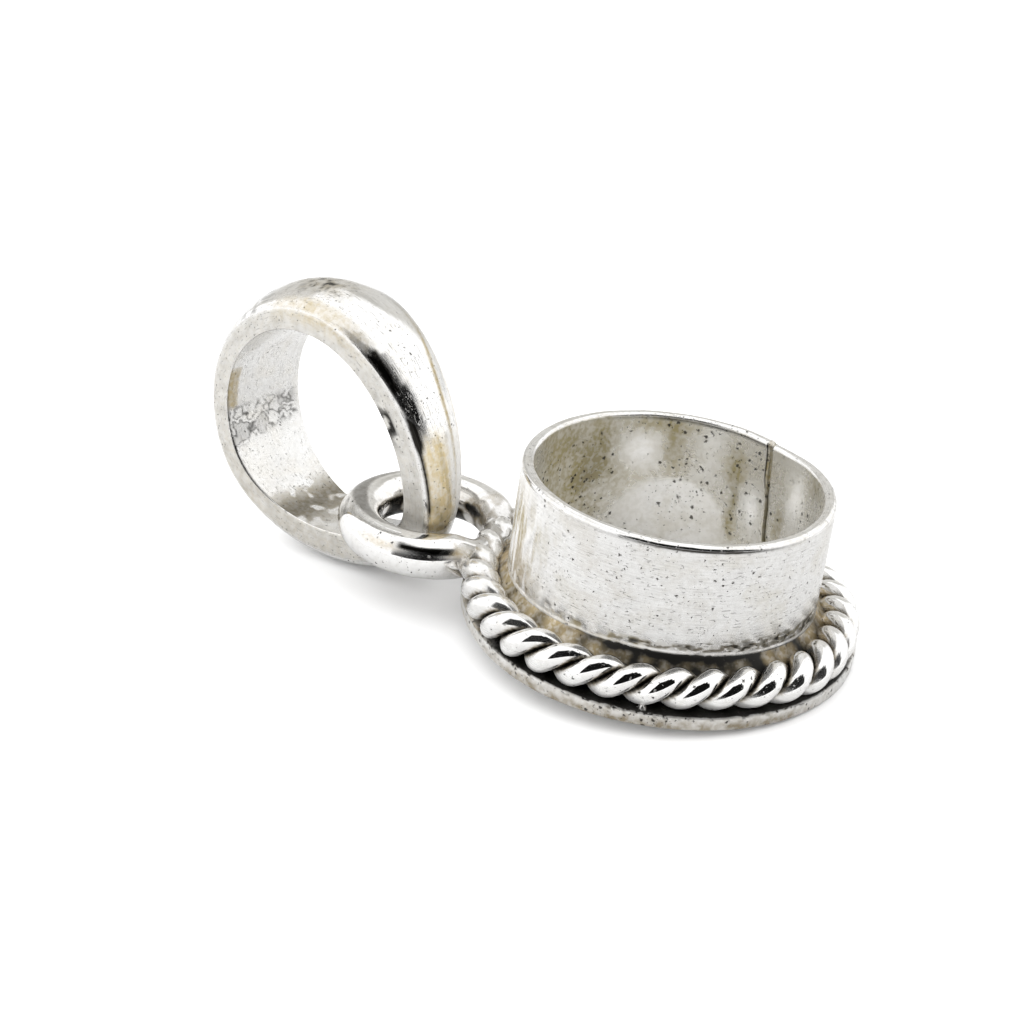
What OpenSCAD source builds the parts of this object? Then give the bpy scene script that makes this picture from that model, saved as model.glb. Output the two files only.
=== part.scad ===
// Pendant bezel setting with a rope border, a jump ring and a loose tapered bail.
// The setting lies on its back with the ring end propped on the bail, so it leans by a few degrees.
// Origin: middle of the whole outline, on the surface it lies on. +X runs from the bail to the cup, +Z is up.

/* [Base plate] */
// Radius of the round base plate
plate_r = 7.3; // [7.25:0.05:8]
// Thickness of the base plate
plate_t = 0.52; // [0.4:0.02:0.8]

/* [Bezel wall] */
// Inside radius of the cup, for a round stone 10 mm across
cup_r = 5.1; // [4.9:0.05:5.15]
// Thickness of the bezel strip
wall_t = 0.45; // [0.3:0.05:0.5]
// How far the wall's outside spreads towards its foot
wall_flare = 0.12; // [0:0.01:0.14]
// Height of the rim above the back of the plate
rim_h = 5.9; // [3.5:0.1:7]

/* [Rope border] */
// Radius of the circle that the twisted wire follows
rope_circle_r = 6.55; // [6.45:0.05:6.6]
// Outside radius of the twisted wire
rope_r = 0.71; // [0.6:0.01:0.75]
// Height of the solder against the wall, above the back of the plate
solder_h = 1.8; // [1.2:0.05:2]

/* [Jump ring] */
// Distance from the cup's axis to the ring's centre
ring_reach = 9.2; // [9.15:0.05:9.6]
// Height of the ring's centre above the back of the plate
ring_h = 1.28; // [1.1:0.02:1.4]
// Radius of the ring's centre line
ring_r = 2.67; // [2.65:0.01:2.8]
// Radius of the ring's wire
ring_wire_r = 0.84; // [0.7:0.01:0.84]

/* [Bail loop] */
// Mean radius of the opening
eye_r = 4.18; // [4.1:0.02:4.3]
// How far the opening is longer than it is wide
eye_stretch = 0.23; // [0.1:0.01:0.25]
// How far the opening narrows towards the ring
eye_taper = 0.175; // [0.15:0.005:0.2]
// How full the shoulders of the opening are
eye_shoulder = 0.056; // [0:0.001:0.07]

/* [Bail band] */
// Width of the band at the broad end
band_w_broad = 3.94; // [3:0.02:4.2]
// Width of the band where it passes through the ring
band_w_narrow = 1.6; // [1.3:0.02:1.7]
// Thickness of the band's edge at the broad end
edge_t_broad = 0.89; // [0.6:0.01:0.95]
// Thickness of the band's edge at the ring
edge_t_narrow = 1.29; // [1:0.01:1.35]
// Height of the dome over the band's edges at the broad end
dome_h_broad = 0.64; // [0.4:0.02:0.7]
// Height of the dome over the band's edges at the ring
dome_h_narrow = 0.21; // [0.15:0.01:0.3]

/* [How it lies] */
// Lean of the setting, ring end up
lean = 4.36; // [4.2:0.02:4.6]
// Place of the bail's middle along X, from the cup's axis
bail_x = -13.28; // [-13.3:0.01:-13.24]
// Place of the bail's middle along Y
bail_y = 0.9; // [0.86:0.01:0.94]
// Heading of the axis through the bail's opening, from +X towards +Y
eye_heading = 72; // [71.5:0.1:72.5]
// Rise of that axis above level
eye_rise = -0.4; // [-1:0.1:0.2]
// Turn of the bail's broad end in the loop's own plane, from level
broad_turn = 145.6; // [145:0.2:146.4]

/* [Hidden] */

// Soldered pieces sink this far into each other.
sink = 0.1;
// Steps round the bail's loop, and steps across its dome.
loop_steps = 72;
dome_steps = 10;
// Exponents of the dome's arch, and of the band's growth towards its broad end.
dome_power = 1.74;
growth_power = 2.28;

wall_r = cup_r + wall_t;
rope_h = plate_t + rope_r - sink;
// The plate's edge touches the surface, so its middle is lifted by the lean.
plate_lift = plate_r * sin(lean);

// The bail's own axes: across the loop (level), up the loop, and through its opening.
across = [sin(eye_heading), -cos(eye_heading), 0];
through = [cos(eye_rise) * cos(eye_heading), cos(eye_rise) * sin(eye_heading), sin(eye_rise)];
upward = cross(across, through);

// Growth of the band away from the ring, 0 at the ring and 1 at the broad end.
function growth(a) = 1 - pow((1 - cos(a)) / 2, growth_power);
function blend(narrow, broad, a) = narrow + (broad - narrow) * growth(a);

// Distance of the opening's tangent from its middle, and the change of it with the angle.
function eye_reach(a) =
    eye_r + eye_stretch * cos(2 * a) - eye_taper * cos(3 * a) + eye_shoulder * cos(4 * a);
function eye_slide(a) =
    -2 * eye_stretch * sin(2 * a) + 3 * eye_taper * sin(3 * a) - 4 * eye_shoulder * sin(4 * a);

// Unit vectors in the loop's plane: away from the middle, and along the loop.
function outward(a) = across * cos(a + broad_turn) + upward * sin(a + broad_turn);
function along(a) = upward * cos(a + broad_turn) - across * sin(a + broad_turn);

// Middle of the band's inner face at angle a.
function band_middle(a) = outward(a) * eye_reach(a) + along(a) * eye_slide(a);

// Section of the band as [side, height] pairs: the flat inner face, then the domed outer face.
function dome(s) = 1 - pow(abs(s), dome_power);
function band_section(a) =
    let (
        half = blend(band_w_narrow, band_w_broad, a) / 2,
        edge = blend(edge_t_narrow, edge_t_broad, a),
        crown = blend(dome_h_narrow, dome_h_broad, a)
    )
    concat(
        [[-half, 0], [half, 0]],
        [for (i = [0 : dome_steps]) let (s = 1 - 2 * i / dome_steps) [half * s, edge + crown * dome(s)]]
    );
function band_ring(a) =
    [for (p = band_section(a)) band_middle(a) + through * p[0] + outward(a) * p[1]];

section_size = dome_steps + 3;
bail_shape = [for (k = [0 : loop_steps - 1]) each band_ring(360 * k / loop_steps)];
bail_faces = [
    for (k = [0 : loop_steps - 1], i = [0 : section_size - 1])
        let (next_k = (k + 1) % loop_steps, next_i = (i + 1) % section_size)
        each [
            [k * section_size + i, k * section_size + next_i, next_k * section_size + next_i],
            [k * section_size + i, next_k * section_size + next_i, next_k * section_size + i]
        ]
];

// The bail rests on the surface, and the whole outline is centred on the origin.
bail_lift = -min([for (p = bail_shape) p.z]);
bail_points = [for (p = bail_shape) p + [bail_x, bail_y, bail_lift]];
far_left = min([for (p = bail_points) p.x]);
plate_right = plate_r * cos(lean) + plate_t * sin(lean);
rope_right = rope_circle_r * cos(lean) + rope_h * sin(lean) + rope_r;
far_right = max(plate_right, rope_right);
middle_x = (far_left + far_right) / 2;

$fn = 96;

module base_plate() {
    color("silver")
        cylinder(r = plate_r, h = plate_t);
}

module bezel_wall() {
    color("gainsboro")
        translate([0, 0, plate_t - sink])
        cylinder(r1 = wall_r + wall_flare, r2 = wall_r, h = rim_h - plate_t + sink);
}

module cup() {
    translate([0, 0, plate_t])
        cylinder(r = cup_r, h = rim_h);
}

module rope_border() {
    color("silver")
        translate([0, 0, rope_h])
        rotate_extrude()
        translate([rope_circle_r, 0])
        circle(r = rope_r);
}

module solder_channel() {
    // The slope runs from the wall down into the inner side of the rope.
    slope_r = rope_circle_r - rope_r * 0.75;
    slope_h = rope_h + rope_r * 0.25;
    color("tan")
        rotate_extrude()
        polygon([
            [wall_r - sink, plate_t - sink],
            [rope_circle_r, plate_t - sink],
            [rope_circle_r, rope_h],
            [slope_r, slope_h],
            [wall_r, solder_h],
            [wall_r - sink, solder_h]
        ]);
}

module jump_ring() {
    color("gainsboro")
        translate([-ring_reach, 0, ring_h])
        rotate_extrude()
        translate([ring_r, 0])
        circle(r = ring_wire_r);
}

module setting() {
    translate([-middle_x, 0, plate_lift])
        rotate([0, lean, 0])
        difference() {
            union() {
                base_plate();
                bezel_wall();
                rope_border();
                solder_channel();
                jump_ring();
            }
            cup();
        }
}

module bail() {
    color("silver")
        translate([-middle_x, 0, 0])
        polyhedron(points = bail_points, faces = bail_faces, convexity = 6);
}

setting();
bail();
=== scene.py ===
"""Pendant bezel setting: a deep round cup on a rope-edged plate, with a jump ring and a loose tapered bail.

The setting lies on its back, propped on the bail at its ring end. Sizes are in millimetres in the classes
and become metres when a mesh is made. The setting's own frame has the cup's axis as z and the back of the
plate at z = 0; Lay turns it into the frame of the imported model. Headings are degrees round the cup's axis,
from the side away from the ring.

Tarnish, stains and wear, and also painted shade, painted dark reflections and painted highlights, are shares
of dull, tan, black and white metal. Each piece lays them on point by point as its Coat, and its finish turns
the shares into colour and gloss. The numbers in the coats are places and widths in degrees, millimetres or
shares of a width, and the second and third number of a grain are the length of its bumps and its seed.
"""

import logging
import math
from dataclasses import astuple, dataclass
from enum import Enum

import bmesh
import bpy
import numpy as np
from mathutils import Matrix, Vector, noise

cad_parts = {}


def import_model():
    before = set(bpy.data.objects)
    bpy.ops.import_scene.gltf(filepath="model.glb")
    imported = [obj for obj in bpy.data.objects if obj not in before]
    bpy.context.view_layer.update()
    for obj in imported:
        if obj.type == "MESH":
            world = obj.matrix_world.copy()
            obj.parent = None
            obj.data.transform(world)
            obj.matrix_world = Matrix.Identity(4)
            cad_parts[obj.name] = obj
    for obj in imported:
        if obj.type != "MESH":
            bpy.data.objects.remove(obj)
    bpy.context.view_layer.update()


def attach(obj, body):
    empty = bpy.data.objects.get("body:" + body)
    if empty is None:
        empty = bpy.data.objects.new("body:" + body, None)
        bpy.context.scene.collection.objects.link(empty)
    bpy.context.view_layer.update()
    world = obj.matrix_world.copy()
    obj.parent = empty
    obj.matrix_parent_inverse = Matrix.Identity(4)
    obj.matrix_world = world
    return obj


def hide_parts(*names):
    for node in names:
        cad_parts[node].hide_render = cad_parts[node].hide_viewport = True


LOG = logging.getLogger("pendant")
MM = 0.001
TURN = 2.0 * math.pi
UV_PER_MM = 0.1
MERGE_DISTANCE = 1e-8
COAT = "coat"

Colour = tuple[float, float, float]
Pair = tuple[float, float]
Socket = bpy.types.NodeSocket

MOTTLED: Colour = (0.42, 0.41, 0.38)
SCRATCHED: Colour = (0.30, 0.29, 0.27)
PITTED: Colour = (0.045, 0.041, 0.035)
# Black for soot and for painted shade.
SOOT_AND_PAINTED_SHADE: Colour = (0.012, 0.011, 0.009)
DARK_OPENING: Colour = (0.006, 0.006, 0.006)


class Node(Enum):
    """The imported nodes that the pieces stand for."""

    SETTING = "setting"
    BAIL = "bail"


class Slot(Enum):
    """The record's material slots."""

    SETTING = "setting_silver"
    BAIL = "bail_silver"


def smooth(low: float, high: float, value: np.ndarray) -> np.ndarray:
    """Smooth step from 0 at low to 1 at high, either way round."""
    t = np.clip((np.asarray(value, float) - low) / (high - low), 0.0, 1.0)
    return t * t * (3.0 - 2.0 * t)


def band(value: np.ndarray, start: float, full: float, fade: float, end: float) -> np.ndarray:
    """1 from full to fade, sinking smoothly to 0 at start and at end."""
    return smooth(start, full, value) * smooth(end, fade, value)


def bell(value: np.ndarray, width: float) -> np.ndarray:
    """Bell curve of the given width, 1 at zero."""
    return np.exp(-((np.asarray(value, float) / width) ** 2))


def off_by(heading: np.ndarray, at: float) -> np.ndarray:
    """Degrees from one heading to another, the short way round."""
    return (np.asarray(heading, float) - at + 180.0) % 360.0 - 180.0


def about(heading: np.ndarray, at: float, width: float) -> np.ndarray:
    """Bell curve of the given width round a heading, in degrees."""
    return bell(off_by(heading, at), width)


def waves(angle: np.ndarray, *rows: tuple[float, float, float]) -> np.ndarray:
    """Slow unevenness round a piece: each row is a wave's depth, its count in a turn and its phase."""
    return sum(depth * np.sin(count * angle + phase) for depth, count, phase in rows)


def polar(angle: np.ndarray, reach: object, height: np.ndarray) -> np.ndarray:
    """Points at an angle in radians, a distance from the axis and a height."""
    return np.stack([reach * np.cos(angle), reach * np.sin(angle), height], -1)


def full_turn(count: int) -> np.ndarray:
    """Angles of equal steps once round, in radians."""
    return np.linspace(0.0, TURN, count, endpoint=False)


def grain(points: np.ndarray, size: float, seed: float) -> np.ndarray:
    """Soft noise from -1 to 1 at each point.

    Args:
        points: places, one row each.
        size: length of a bump, in the points' own unit.
        seed: a fixed number that picks the pattern.

    Returns:
        One value for each row.
    """
    offset = Vector((seed * 3.1, seed * 1.7, seed * 5.3))
    flat = np.asarray(points, float).reshape(-1, 3) / size
    values = [noise.noise(Vector(p) + offset) for p in flat]
    return np.array(values).reshape(np.asarray(points).shape[:-1])


def foot_line(heading: np.ndarray) -> np.ndarray:
    """Height at which the solder meets the wall's foot, for headings in degrees."""
    return 1.60 + 0.30 * about(heading, -80.0, 60.0)


@dataclass(frozen=True)
class Lay:
    """How the setting leans on the surface.

    Args:
        lean: lean in degrees, ring end up.
        shift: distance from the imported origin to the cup's axis at the back of the plate.
        edge: radius of the plate, whose edge touches the surface.
    """

    lean: float = 4.36
    shift: float = 5.79029
    edge: float = 7.3

    def place(self, points: np.ndarray) -> np.ndarray:
        """Turns points of the setting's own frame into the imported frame, still in millimetres.

        Args:
            points: places, one row each, in millimetres.

        Returns:
            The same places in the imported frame, still in millimetres.
        """
        s, c = math.sin(math.radians(self.lean)), math.cos(math.radians(self.lean))
        turn = np.array([[c, 0.0, s], [0.0, 1.0, 0.0], [-s, 0.0, c]])
        return points @ turn.T + np.array([self.shift, 0.0, self.edge * s])


@dataclass(frozen=True)
class Mark:
    """A soft round mark on a piece.

    Args:
        at: its middle round the piece, in degrees.
        beside: its middle the other way, in that surface's own measure.
        wide: its spread round the piece, in degrees.
        tall: its spread the other way.
        strength: its share at the middle.
    """

    at: float
    beside: float
    wide: float
    tall: float
    strength: float = 1.0

    def on(self, turn: np.ndarray, beside: np.ndarray, stray: object = 0.0) -> np.ndarray:
        """The mark's share at each point, moved round the piece by the stray degrees."""
        across = bell(beside - self.beside, self.tall)
        return self.strength * bell(off_by(turn, self.at) + stray, self.wide) * across


@dataclass(frozen=True)
class Speck:
    """A small round hole: its heading, its height and its radius in millimetres."""

    at: float
    height: float
    radius: float


@dataclass(frozen=True)
class StreakRow:
    """One row of a long curved streak.

    Args:
        at: degrees round the piece.
        middle: the streak's middle there, in degrees round the wire.
        half: half its breadth, in degrees round the wire.
        strength: its share there.
    """

    at: float
    middle: float
    half: float
    strength: float


class Coat:
    """Shares of dull, tan, black and white metal for each point, laid on mark by mark.

    Dull metal is rougher and darker, tan is the warm tarnish, black is soot in holes and recesses, and white
    is a pale film that takes the mirror away. Some marks paint light and shade with these shares: black for
    painted shade and painted dark reflections, less dull and more white for painted highlights and pools of
    light.
    """

    def __init__(self, shape: tuple[int, ...]) -> None:
        """Starts with bare metal."""
        self.shares = np.zeros((*shape, 4))

    def add(
        self, mask: object, dull: object = 0.0, tan: object = 0.0, black: object = 0.0, white: object = 0.0
    ) -> None:
        """Lays on a mark: each share grows by its strength times the mask."""
        for column, strength in enumerate((dull, tan, black, white)):
            self.shares[..., column] += strength * mask

    def cover(self, mask: np.ndarray, dull: float = 0.0, tan: float = 0.0, black: object = 0.0) -> None:
        """Lays on a mark that only shows where what is there already is weaker."""
        for column, strength in enumerate((dull, tan, black)):
            self.shares[..., column] = np.maximum(self.shares[..., column], strength * mask)

    def wipe(self, mask: np.ndarray, tan: float = 0.0, black: float = 0.0, white: float = 0.0) -> None:
        """Takes part of each share away under a mask."""
        for column, part in enumerate((tan, black, white), start=1):
            self.shares[..., column] *= 1.0 - part * mask

    def paint(self, mesh: bpy.types.Mesh) -> None:
        """Writes the shares into the mesh's coat attribute."""
        layer = mesh.color_attributes.new(name=COAT, type="FLOAT_COLOR", domain="POINT")
        layer.data.foreach_set("color", np.clip(self.shares, 0.0, 1.0).astype(np.float32).ravel())


def quads(rows: int, columns: int, closed: bool) -> list[tuple[int, int, int, int]]:
    """Faces of a grid of points whose rows go once round, and whose columns may close on themselves.

    Args:
        rows: number of rows, which go once round.
        columns: number of points in a row.
        closed: whether a row comes back to its start.

    Returns:
        The four point numbers of each face.
    """
    faces = []
    for r in range(rows):
        below = (r + 1) % rows
        for c in range(columns if closed else columns - 1):
            beside = (c + 1) % columns
            here, there = r * columns, below * columns
            faces.append((here + c, here + beside, there + beside, there + c))
    return faces


def closed_uv(mesh: bpy.types.Mesh, pairs: np.ndarray, once: Pair) -> np.ndarray:
    """Carries the UV over the faces where it comes back to its start.

    Args:
        mesh: the mesh.
        pairs: a pair for each face corner.
        once: length of the UV once round each way, or 0 where it doesn't close.

    Returns:
        The corrected pairs.
    """
    starts = np.zeros(len(mesh.polygons), np.int32)
    totals = np.zeros(len(mesh.polygons), np.int32)
    mesh.polygons.foreach_get("loop_start", starts)
    mesh.polygons.foreach_get("loop_total", totals)
    for way, length in enumerate(once):
        if length > 0.0:
            most = np.repeat(np.maximum.reduceat(pairs[:, way], starts), totals)
            pairs[:, way] += length * (most - pairs[:, way] > length / 2.0)
    return pairs.astype(np.float32)


def as_piece(name: str, mesh: bpy.types.Mesh) -> bpy.types.Object:
    """Closes a mesh, turns its faces outwards, shades it smooth and links it at the origin.

    Args:
        name: the piece's name.
        mesh: its mesh.

    Returns:
        The linked object.
    """
    shell = bmesh.new()
    shell.from_mesh(mesh)
    bmesh.ops.remove_doubles(shell, verts=shell.verts, dist=MERGE_DISTANCE)
    bmesh.ops.recalc_face_normals(shell, faces=shell.faces)
    shell.to_mesh(mesh)
    shell.free()
    mesh.shade_smooth()
    obj = bpy.data.objects.new(name, mesh)
    bpy.context.scene.collection.objects.link(obj)
    return obj


def make_piece(
    name: str,
    points: np.ndarray,
    coat: Coat,
    along: tuple[np.ndarray, np.ndarray],
    once: Pair,
    closed: bool = True,
) -> bpy.types.Object:
    """Makes a smooth closed mesh from a grid of points.

    Args:
        name: the piece's name.
        points: rows of places in millimetres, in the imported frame, once round the piece.
        coat: the shares of each point.
        along: how far each point lies along the surface, in millimetres each way.
        once: the same once round each way, or 0 where it doesn't close.
        closed: whether each row comes back to its start.

    Returns:
        The linked object, at the origin and unscaled.
    """
    mesh = bpy.data.meshes.new(name)
    mesh.from_pydata((points.reshape(-1, 3) * MM).tolist(), [], quads(*points.shape[:2], closed))
    corners = np.zeros(len(mesh.loops), np.int32)
    mesh.loops.foreach_get("vertex_index", corners)
    pairs = np.stack(along, -1).reshape(-1, 2)[corners] * UV_PER_MM
    layer = mesh.uv_layers.new(name="surface")
    turns = (once[0] * UV_PER_MM, once[1] * UV_PER_MM)
    layer.data.foreach_set("uv", closed_uv(mesh, pairs, turns).ravel())
    coat.paint(mesh)
    return as_piece(name, mesh)


class Tree:
    """A node tree with short calls that add and link its nodes."""

    def __init__(self, tree: bpy.types.NodeTree) -> None:
        """Keeps the tree that the nodes go into."""
        self.tree = tree

    def add(self, kind: str, feeds: dict | None = None, **settings: object) -> bpy.types.Node:
        """Adds a node.

        Args:
            kind: the node's type name.
            feeds: for each socket name or number, the socket that feeds it, or its value.
            settings: the node's own options.

        Returns:
            The new node.
        """
        node = self.tree.nodes.new(kind)
        for key, value in settings.items():
            setattr(node, key, value)
        for key, value in (feeds or {}).items():
            if isinstance(value, Socket):
                self.tree.links.new(value, node.inputs[key])
            else:
                node.inputs[key].default_value = value
        return node

    def math(self, operation: str, *values: object, clamp: bool = False) -> Socket:
        """Adds a Math node and returns its result."""
        node = self.add("ShaderNodeMath", dict(enumerate(values)), operation=operation, use_clamp=clamp)
        return node.outputs[0]

    def vector(self, operation: str, *values: object) -> Socket:
        """Adds a Vector Math node and returns its vector."""
        return self.add("ShaderNodeVectorMath", dict(enumerate(values)), operation=operation).outputs[0]

    def scaled(self, vector: Socket, by: object) -> Socket:
        """A vector times a number."""
        return self.add("ShaderNodeVectorMath", {0: vector, "Scale": by}, operation="SCALE").outputs[0]

    def joined(self, x: object, y: object, z: object) -> Socket:
        """A vector from its three parts."""
        return self.add("ShaderNodeCombineXYZ", {0: x, 1: y, 2: z}).outputs[0]

    def mix(self, share: object, first: object, second: object) -> Socket:
        """Mixes two colours, whose sockets come after the node's value and vector sockets."""
        return self.add("ShaderNodeMix", {0: share, 6: first, 7: second}, data_type="RGBA").outputs[2]

    def ramp(self, value: object, low: object, high: object, first: float, last: float) -> Socket:
        """Straight line from first at low to last at high, level outside them."""
        return self.add("ShaderNodeMapRange", {0: value, 1: low, 2: high, 3: first, 4: last}).outputs[0]

    def step(self, value: object, low: object, high: object) -> Socket:
        """Smooth step of a value from 0 at low to 1 at high."""
        feeds = {0: value, 1: low, 2: high, 3: 0.0, 4: 1.0}
        return self.add("ShaderNodeMapRange", feeds, interpolation_type="SMOOTHSTEP").outputs[0]

    def noise(self, vector: object, scale: object, detail: float, distortion: float = 0.0) -> Socket:
        """Adds a noise texture and returns its value."""
        feeds = {"Vector": vector, "Scale": scale, "Detail": detail, "Distortion": distortion}
        return self.add("ShaderNodeTexNoise", feeds).outputs[0]


class EffectGroup(Tree):
    """A shader group with named inputs, whose outputs are values."""

    def __init__(self, name: str, inputs: dict[str, float | None], outputs: tuple[str, ...]) -> None:
        """Makes the empty group.

        Args:
            name: the group's name.
            inputs: the default of each input, or None for a vector.
            outputs: names of the outputs.
        """
        super().__init__(bpy.data.node_groups.new(name, "ShaderNodeTree"))
        sockets = self.tree.interface
        for key, default in inputs.items():
            kind = "NodeSocketVector" if default is None else "NodeSocketFloat"
            socket = sockets.new_socket(name=key, in_out="INPUT", socket_type=kind)
            if default is not None:
                socket.default_value = default
        for key in outputs:
            sockets.new_socket(name=key, in_out="OUTPUT", socket_type="NodeSocketFloat")
        self.given = self.tree.nodes.new("NodeGroupInput").outputs
        self.result = self.tree.nodes.new("NodeGroupOutput").inputs

    def give(self, name: str, value: Socket) -> None:
        """Sends a value to one of the group's outputs."""
        self.tree.links.new(value, self.result[name])


class SurfaceEffects:
    """The shader groups that every silver finish shares."""

    def __init__(self) -> None:
        """Builds the groups once."""
        self.pits = self.build_pits()
        self.tarnish = self.build_tarnish()
        self.scratches = self.build_scratches()

    @staticmethod
    def build_pits() -> bpy.types.NodeTree:
        """Small dark pits of uneven size, thicker in some places than in others.

        Returns:
            A group that gives a mask.
        """
        inputs = {"Vector": None, "Scale": 3000.0, "Share": 0.25, "Radius": 0.22}
        group = EffectGroup("pits", inputs, ("Mask",))
        place = group.given["Vector"]
        ragged = group.add("ShaderNodeTexNoise", {"Vector": place, "Scale": 14000.0, "Detail": 2.0})
        shift = group.vector("SUBTRACT", ragged.outputs["Color"], (0.5, 0.5, 0.5))
        moved = group.vector("ADD", place, group.scaled(shift, 0.00016))
        cells = group.add("ShaderNodeTexVoronoi", {"Vector": moved, "Scale": group.given["Scale"]}).outputs
        pick = group.add("ShaderNodeSeparateColor", {0: cells["Color"]}).outputs[0]
        clump = group.step(group.noise(place, 420.0, 2.0), 0.3, 0.72)
        least = group.math("SUBTRACT", 1.0, group.math("MULTIPLY", group.given["Share"], clump))
        there = group.math("GREATER_THAN", pick, least)
        size = group.math("MULTIPLY_ADD", group.ramp(pick, least, 1.0, 0.0, 1.0), 0.6, 0.4)
        reach = group.math("MULTIPLY", size, group.given["Radius"])
        depth = group.math("MULTIPLY", group.math("SUBTRACT", reach, cells["Distance"]), 14.0, clamp=True)
        group.give("Mask", group.math("MULTIPLY", depth, there))
        return group.tree

    @staticmethod
    def build_tarnish() -> bpy.types.NodeTree:
        """Cloudy tarnish: a broad mask, a fine mottle and a slow drift of hue.

        Returns:
            A group that gives the three.
        """
        inputs = {"Vector": None, "Size": 700.0, "Low": 0.45, "High": 0.75}
        group = EffectGroup("tarnish", inputs, ("Cloud", "Mottle", "Hue"))
        place = group.given["Vector"]
        broad = group.noise(place, group.given["Size"], 3.0, 0.6)
        fine = group.noise(place, 5200.0, 3.0, 0.3)
        both = group.math("MULTIPLY_ADD", fine, 0.22, group.math("MULTIPLY", broad, 0.85))
        group.give("Cloud", group.step(both, group.given["Low"], group.given["High"]))
        group.give("Mottle", fine)
        group.give("Hue", group.step(group.noise(place, 330.0, 1.0), 0.35, 0.65))
        return group.tree

    @staticmethod
    def build_scratches() -> bpy.types.NodeTree:
        """Fine scratches and short dark dashes along the piece's own first direction.

        Returns:
            A group that gives the lines, their height and the dashes.
        """
        inputs = {"UV": None, "Length": 9.0, "Width": 260.0}
        group = EffectGroup("scratches", inputs, ("Lines", "Height", "Dashes"))
        given = group.given
        parts = group.add("ShaderNodeSeparateXYZ", {0: given["UV"]}).outputs
        along = group.math("MULTIPLY", parts[0], given["Length"])
        across = group.math("MULTIPLY", parts[1], given["Width"])
        lines = group.noise(group.joined(along, across, 0.0), 1.0, 3.0, 0.2)
        breaks = group.noise(given["UV"], 9.0, 2.0)
        broken = group.math("MULTIPLY", group.step(lines, 0.6, 0.74), group.step(breaks, 0.42, 0.62))
        group.give("Lines", broken)
        group.give("Height", lines)
        short, thin = group.math("MULTIPLY", parts[0], 42.0), group.math("MULTIPLY", parts[1], 170.0)
        dashes = group.noise(group.joined(short, thin, 7.3), 1.0, 1.0)
        group.give("Dashes", group.step(dashes, 0.66, 0.73))
        return group.tree


def new_material(name: str) -> tuple[bpy.types.Material, Tree]:
    """An empty material and its tree.

    Args:
        name: the material's name.

    Returns:
        The material and its tree.
    """
    made = bpy.data.materials.new(name)
    made.use_nodes = True
    made.node_tree.nodes.clear()
    return made, Tree(made.node_tree)


@dataclass(frozen=True)
class Wear:
    """The sockets that a finish mixes from.

    Args:
        dull: share of dull metal.
        recess: share of tarnish from the coat.
        soot_and_painted_shade: share of black, dark dirt and painted shade.
        holes: the pits and dashes.
        cloud: the cloudy tarnish.
        mottle: the fine unevenness.
        hue: the slow drift of the tarnish's hue.
        lines: the scratches.
        relief: the height of the scratches.
    """

    dull: Socket
    recess: Socket
    soot_and_painted_shade: Socket
    holes: Socket
    cloud: Socket
    mottle: Socket
    hue: Socket
    lines: Socket
    relief: Socket


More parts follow.
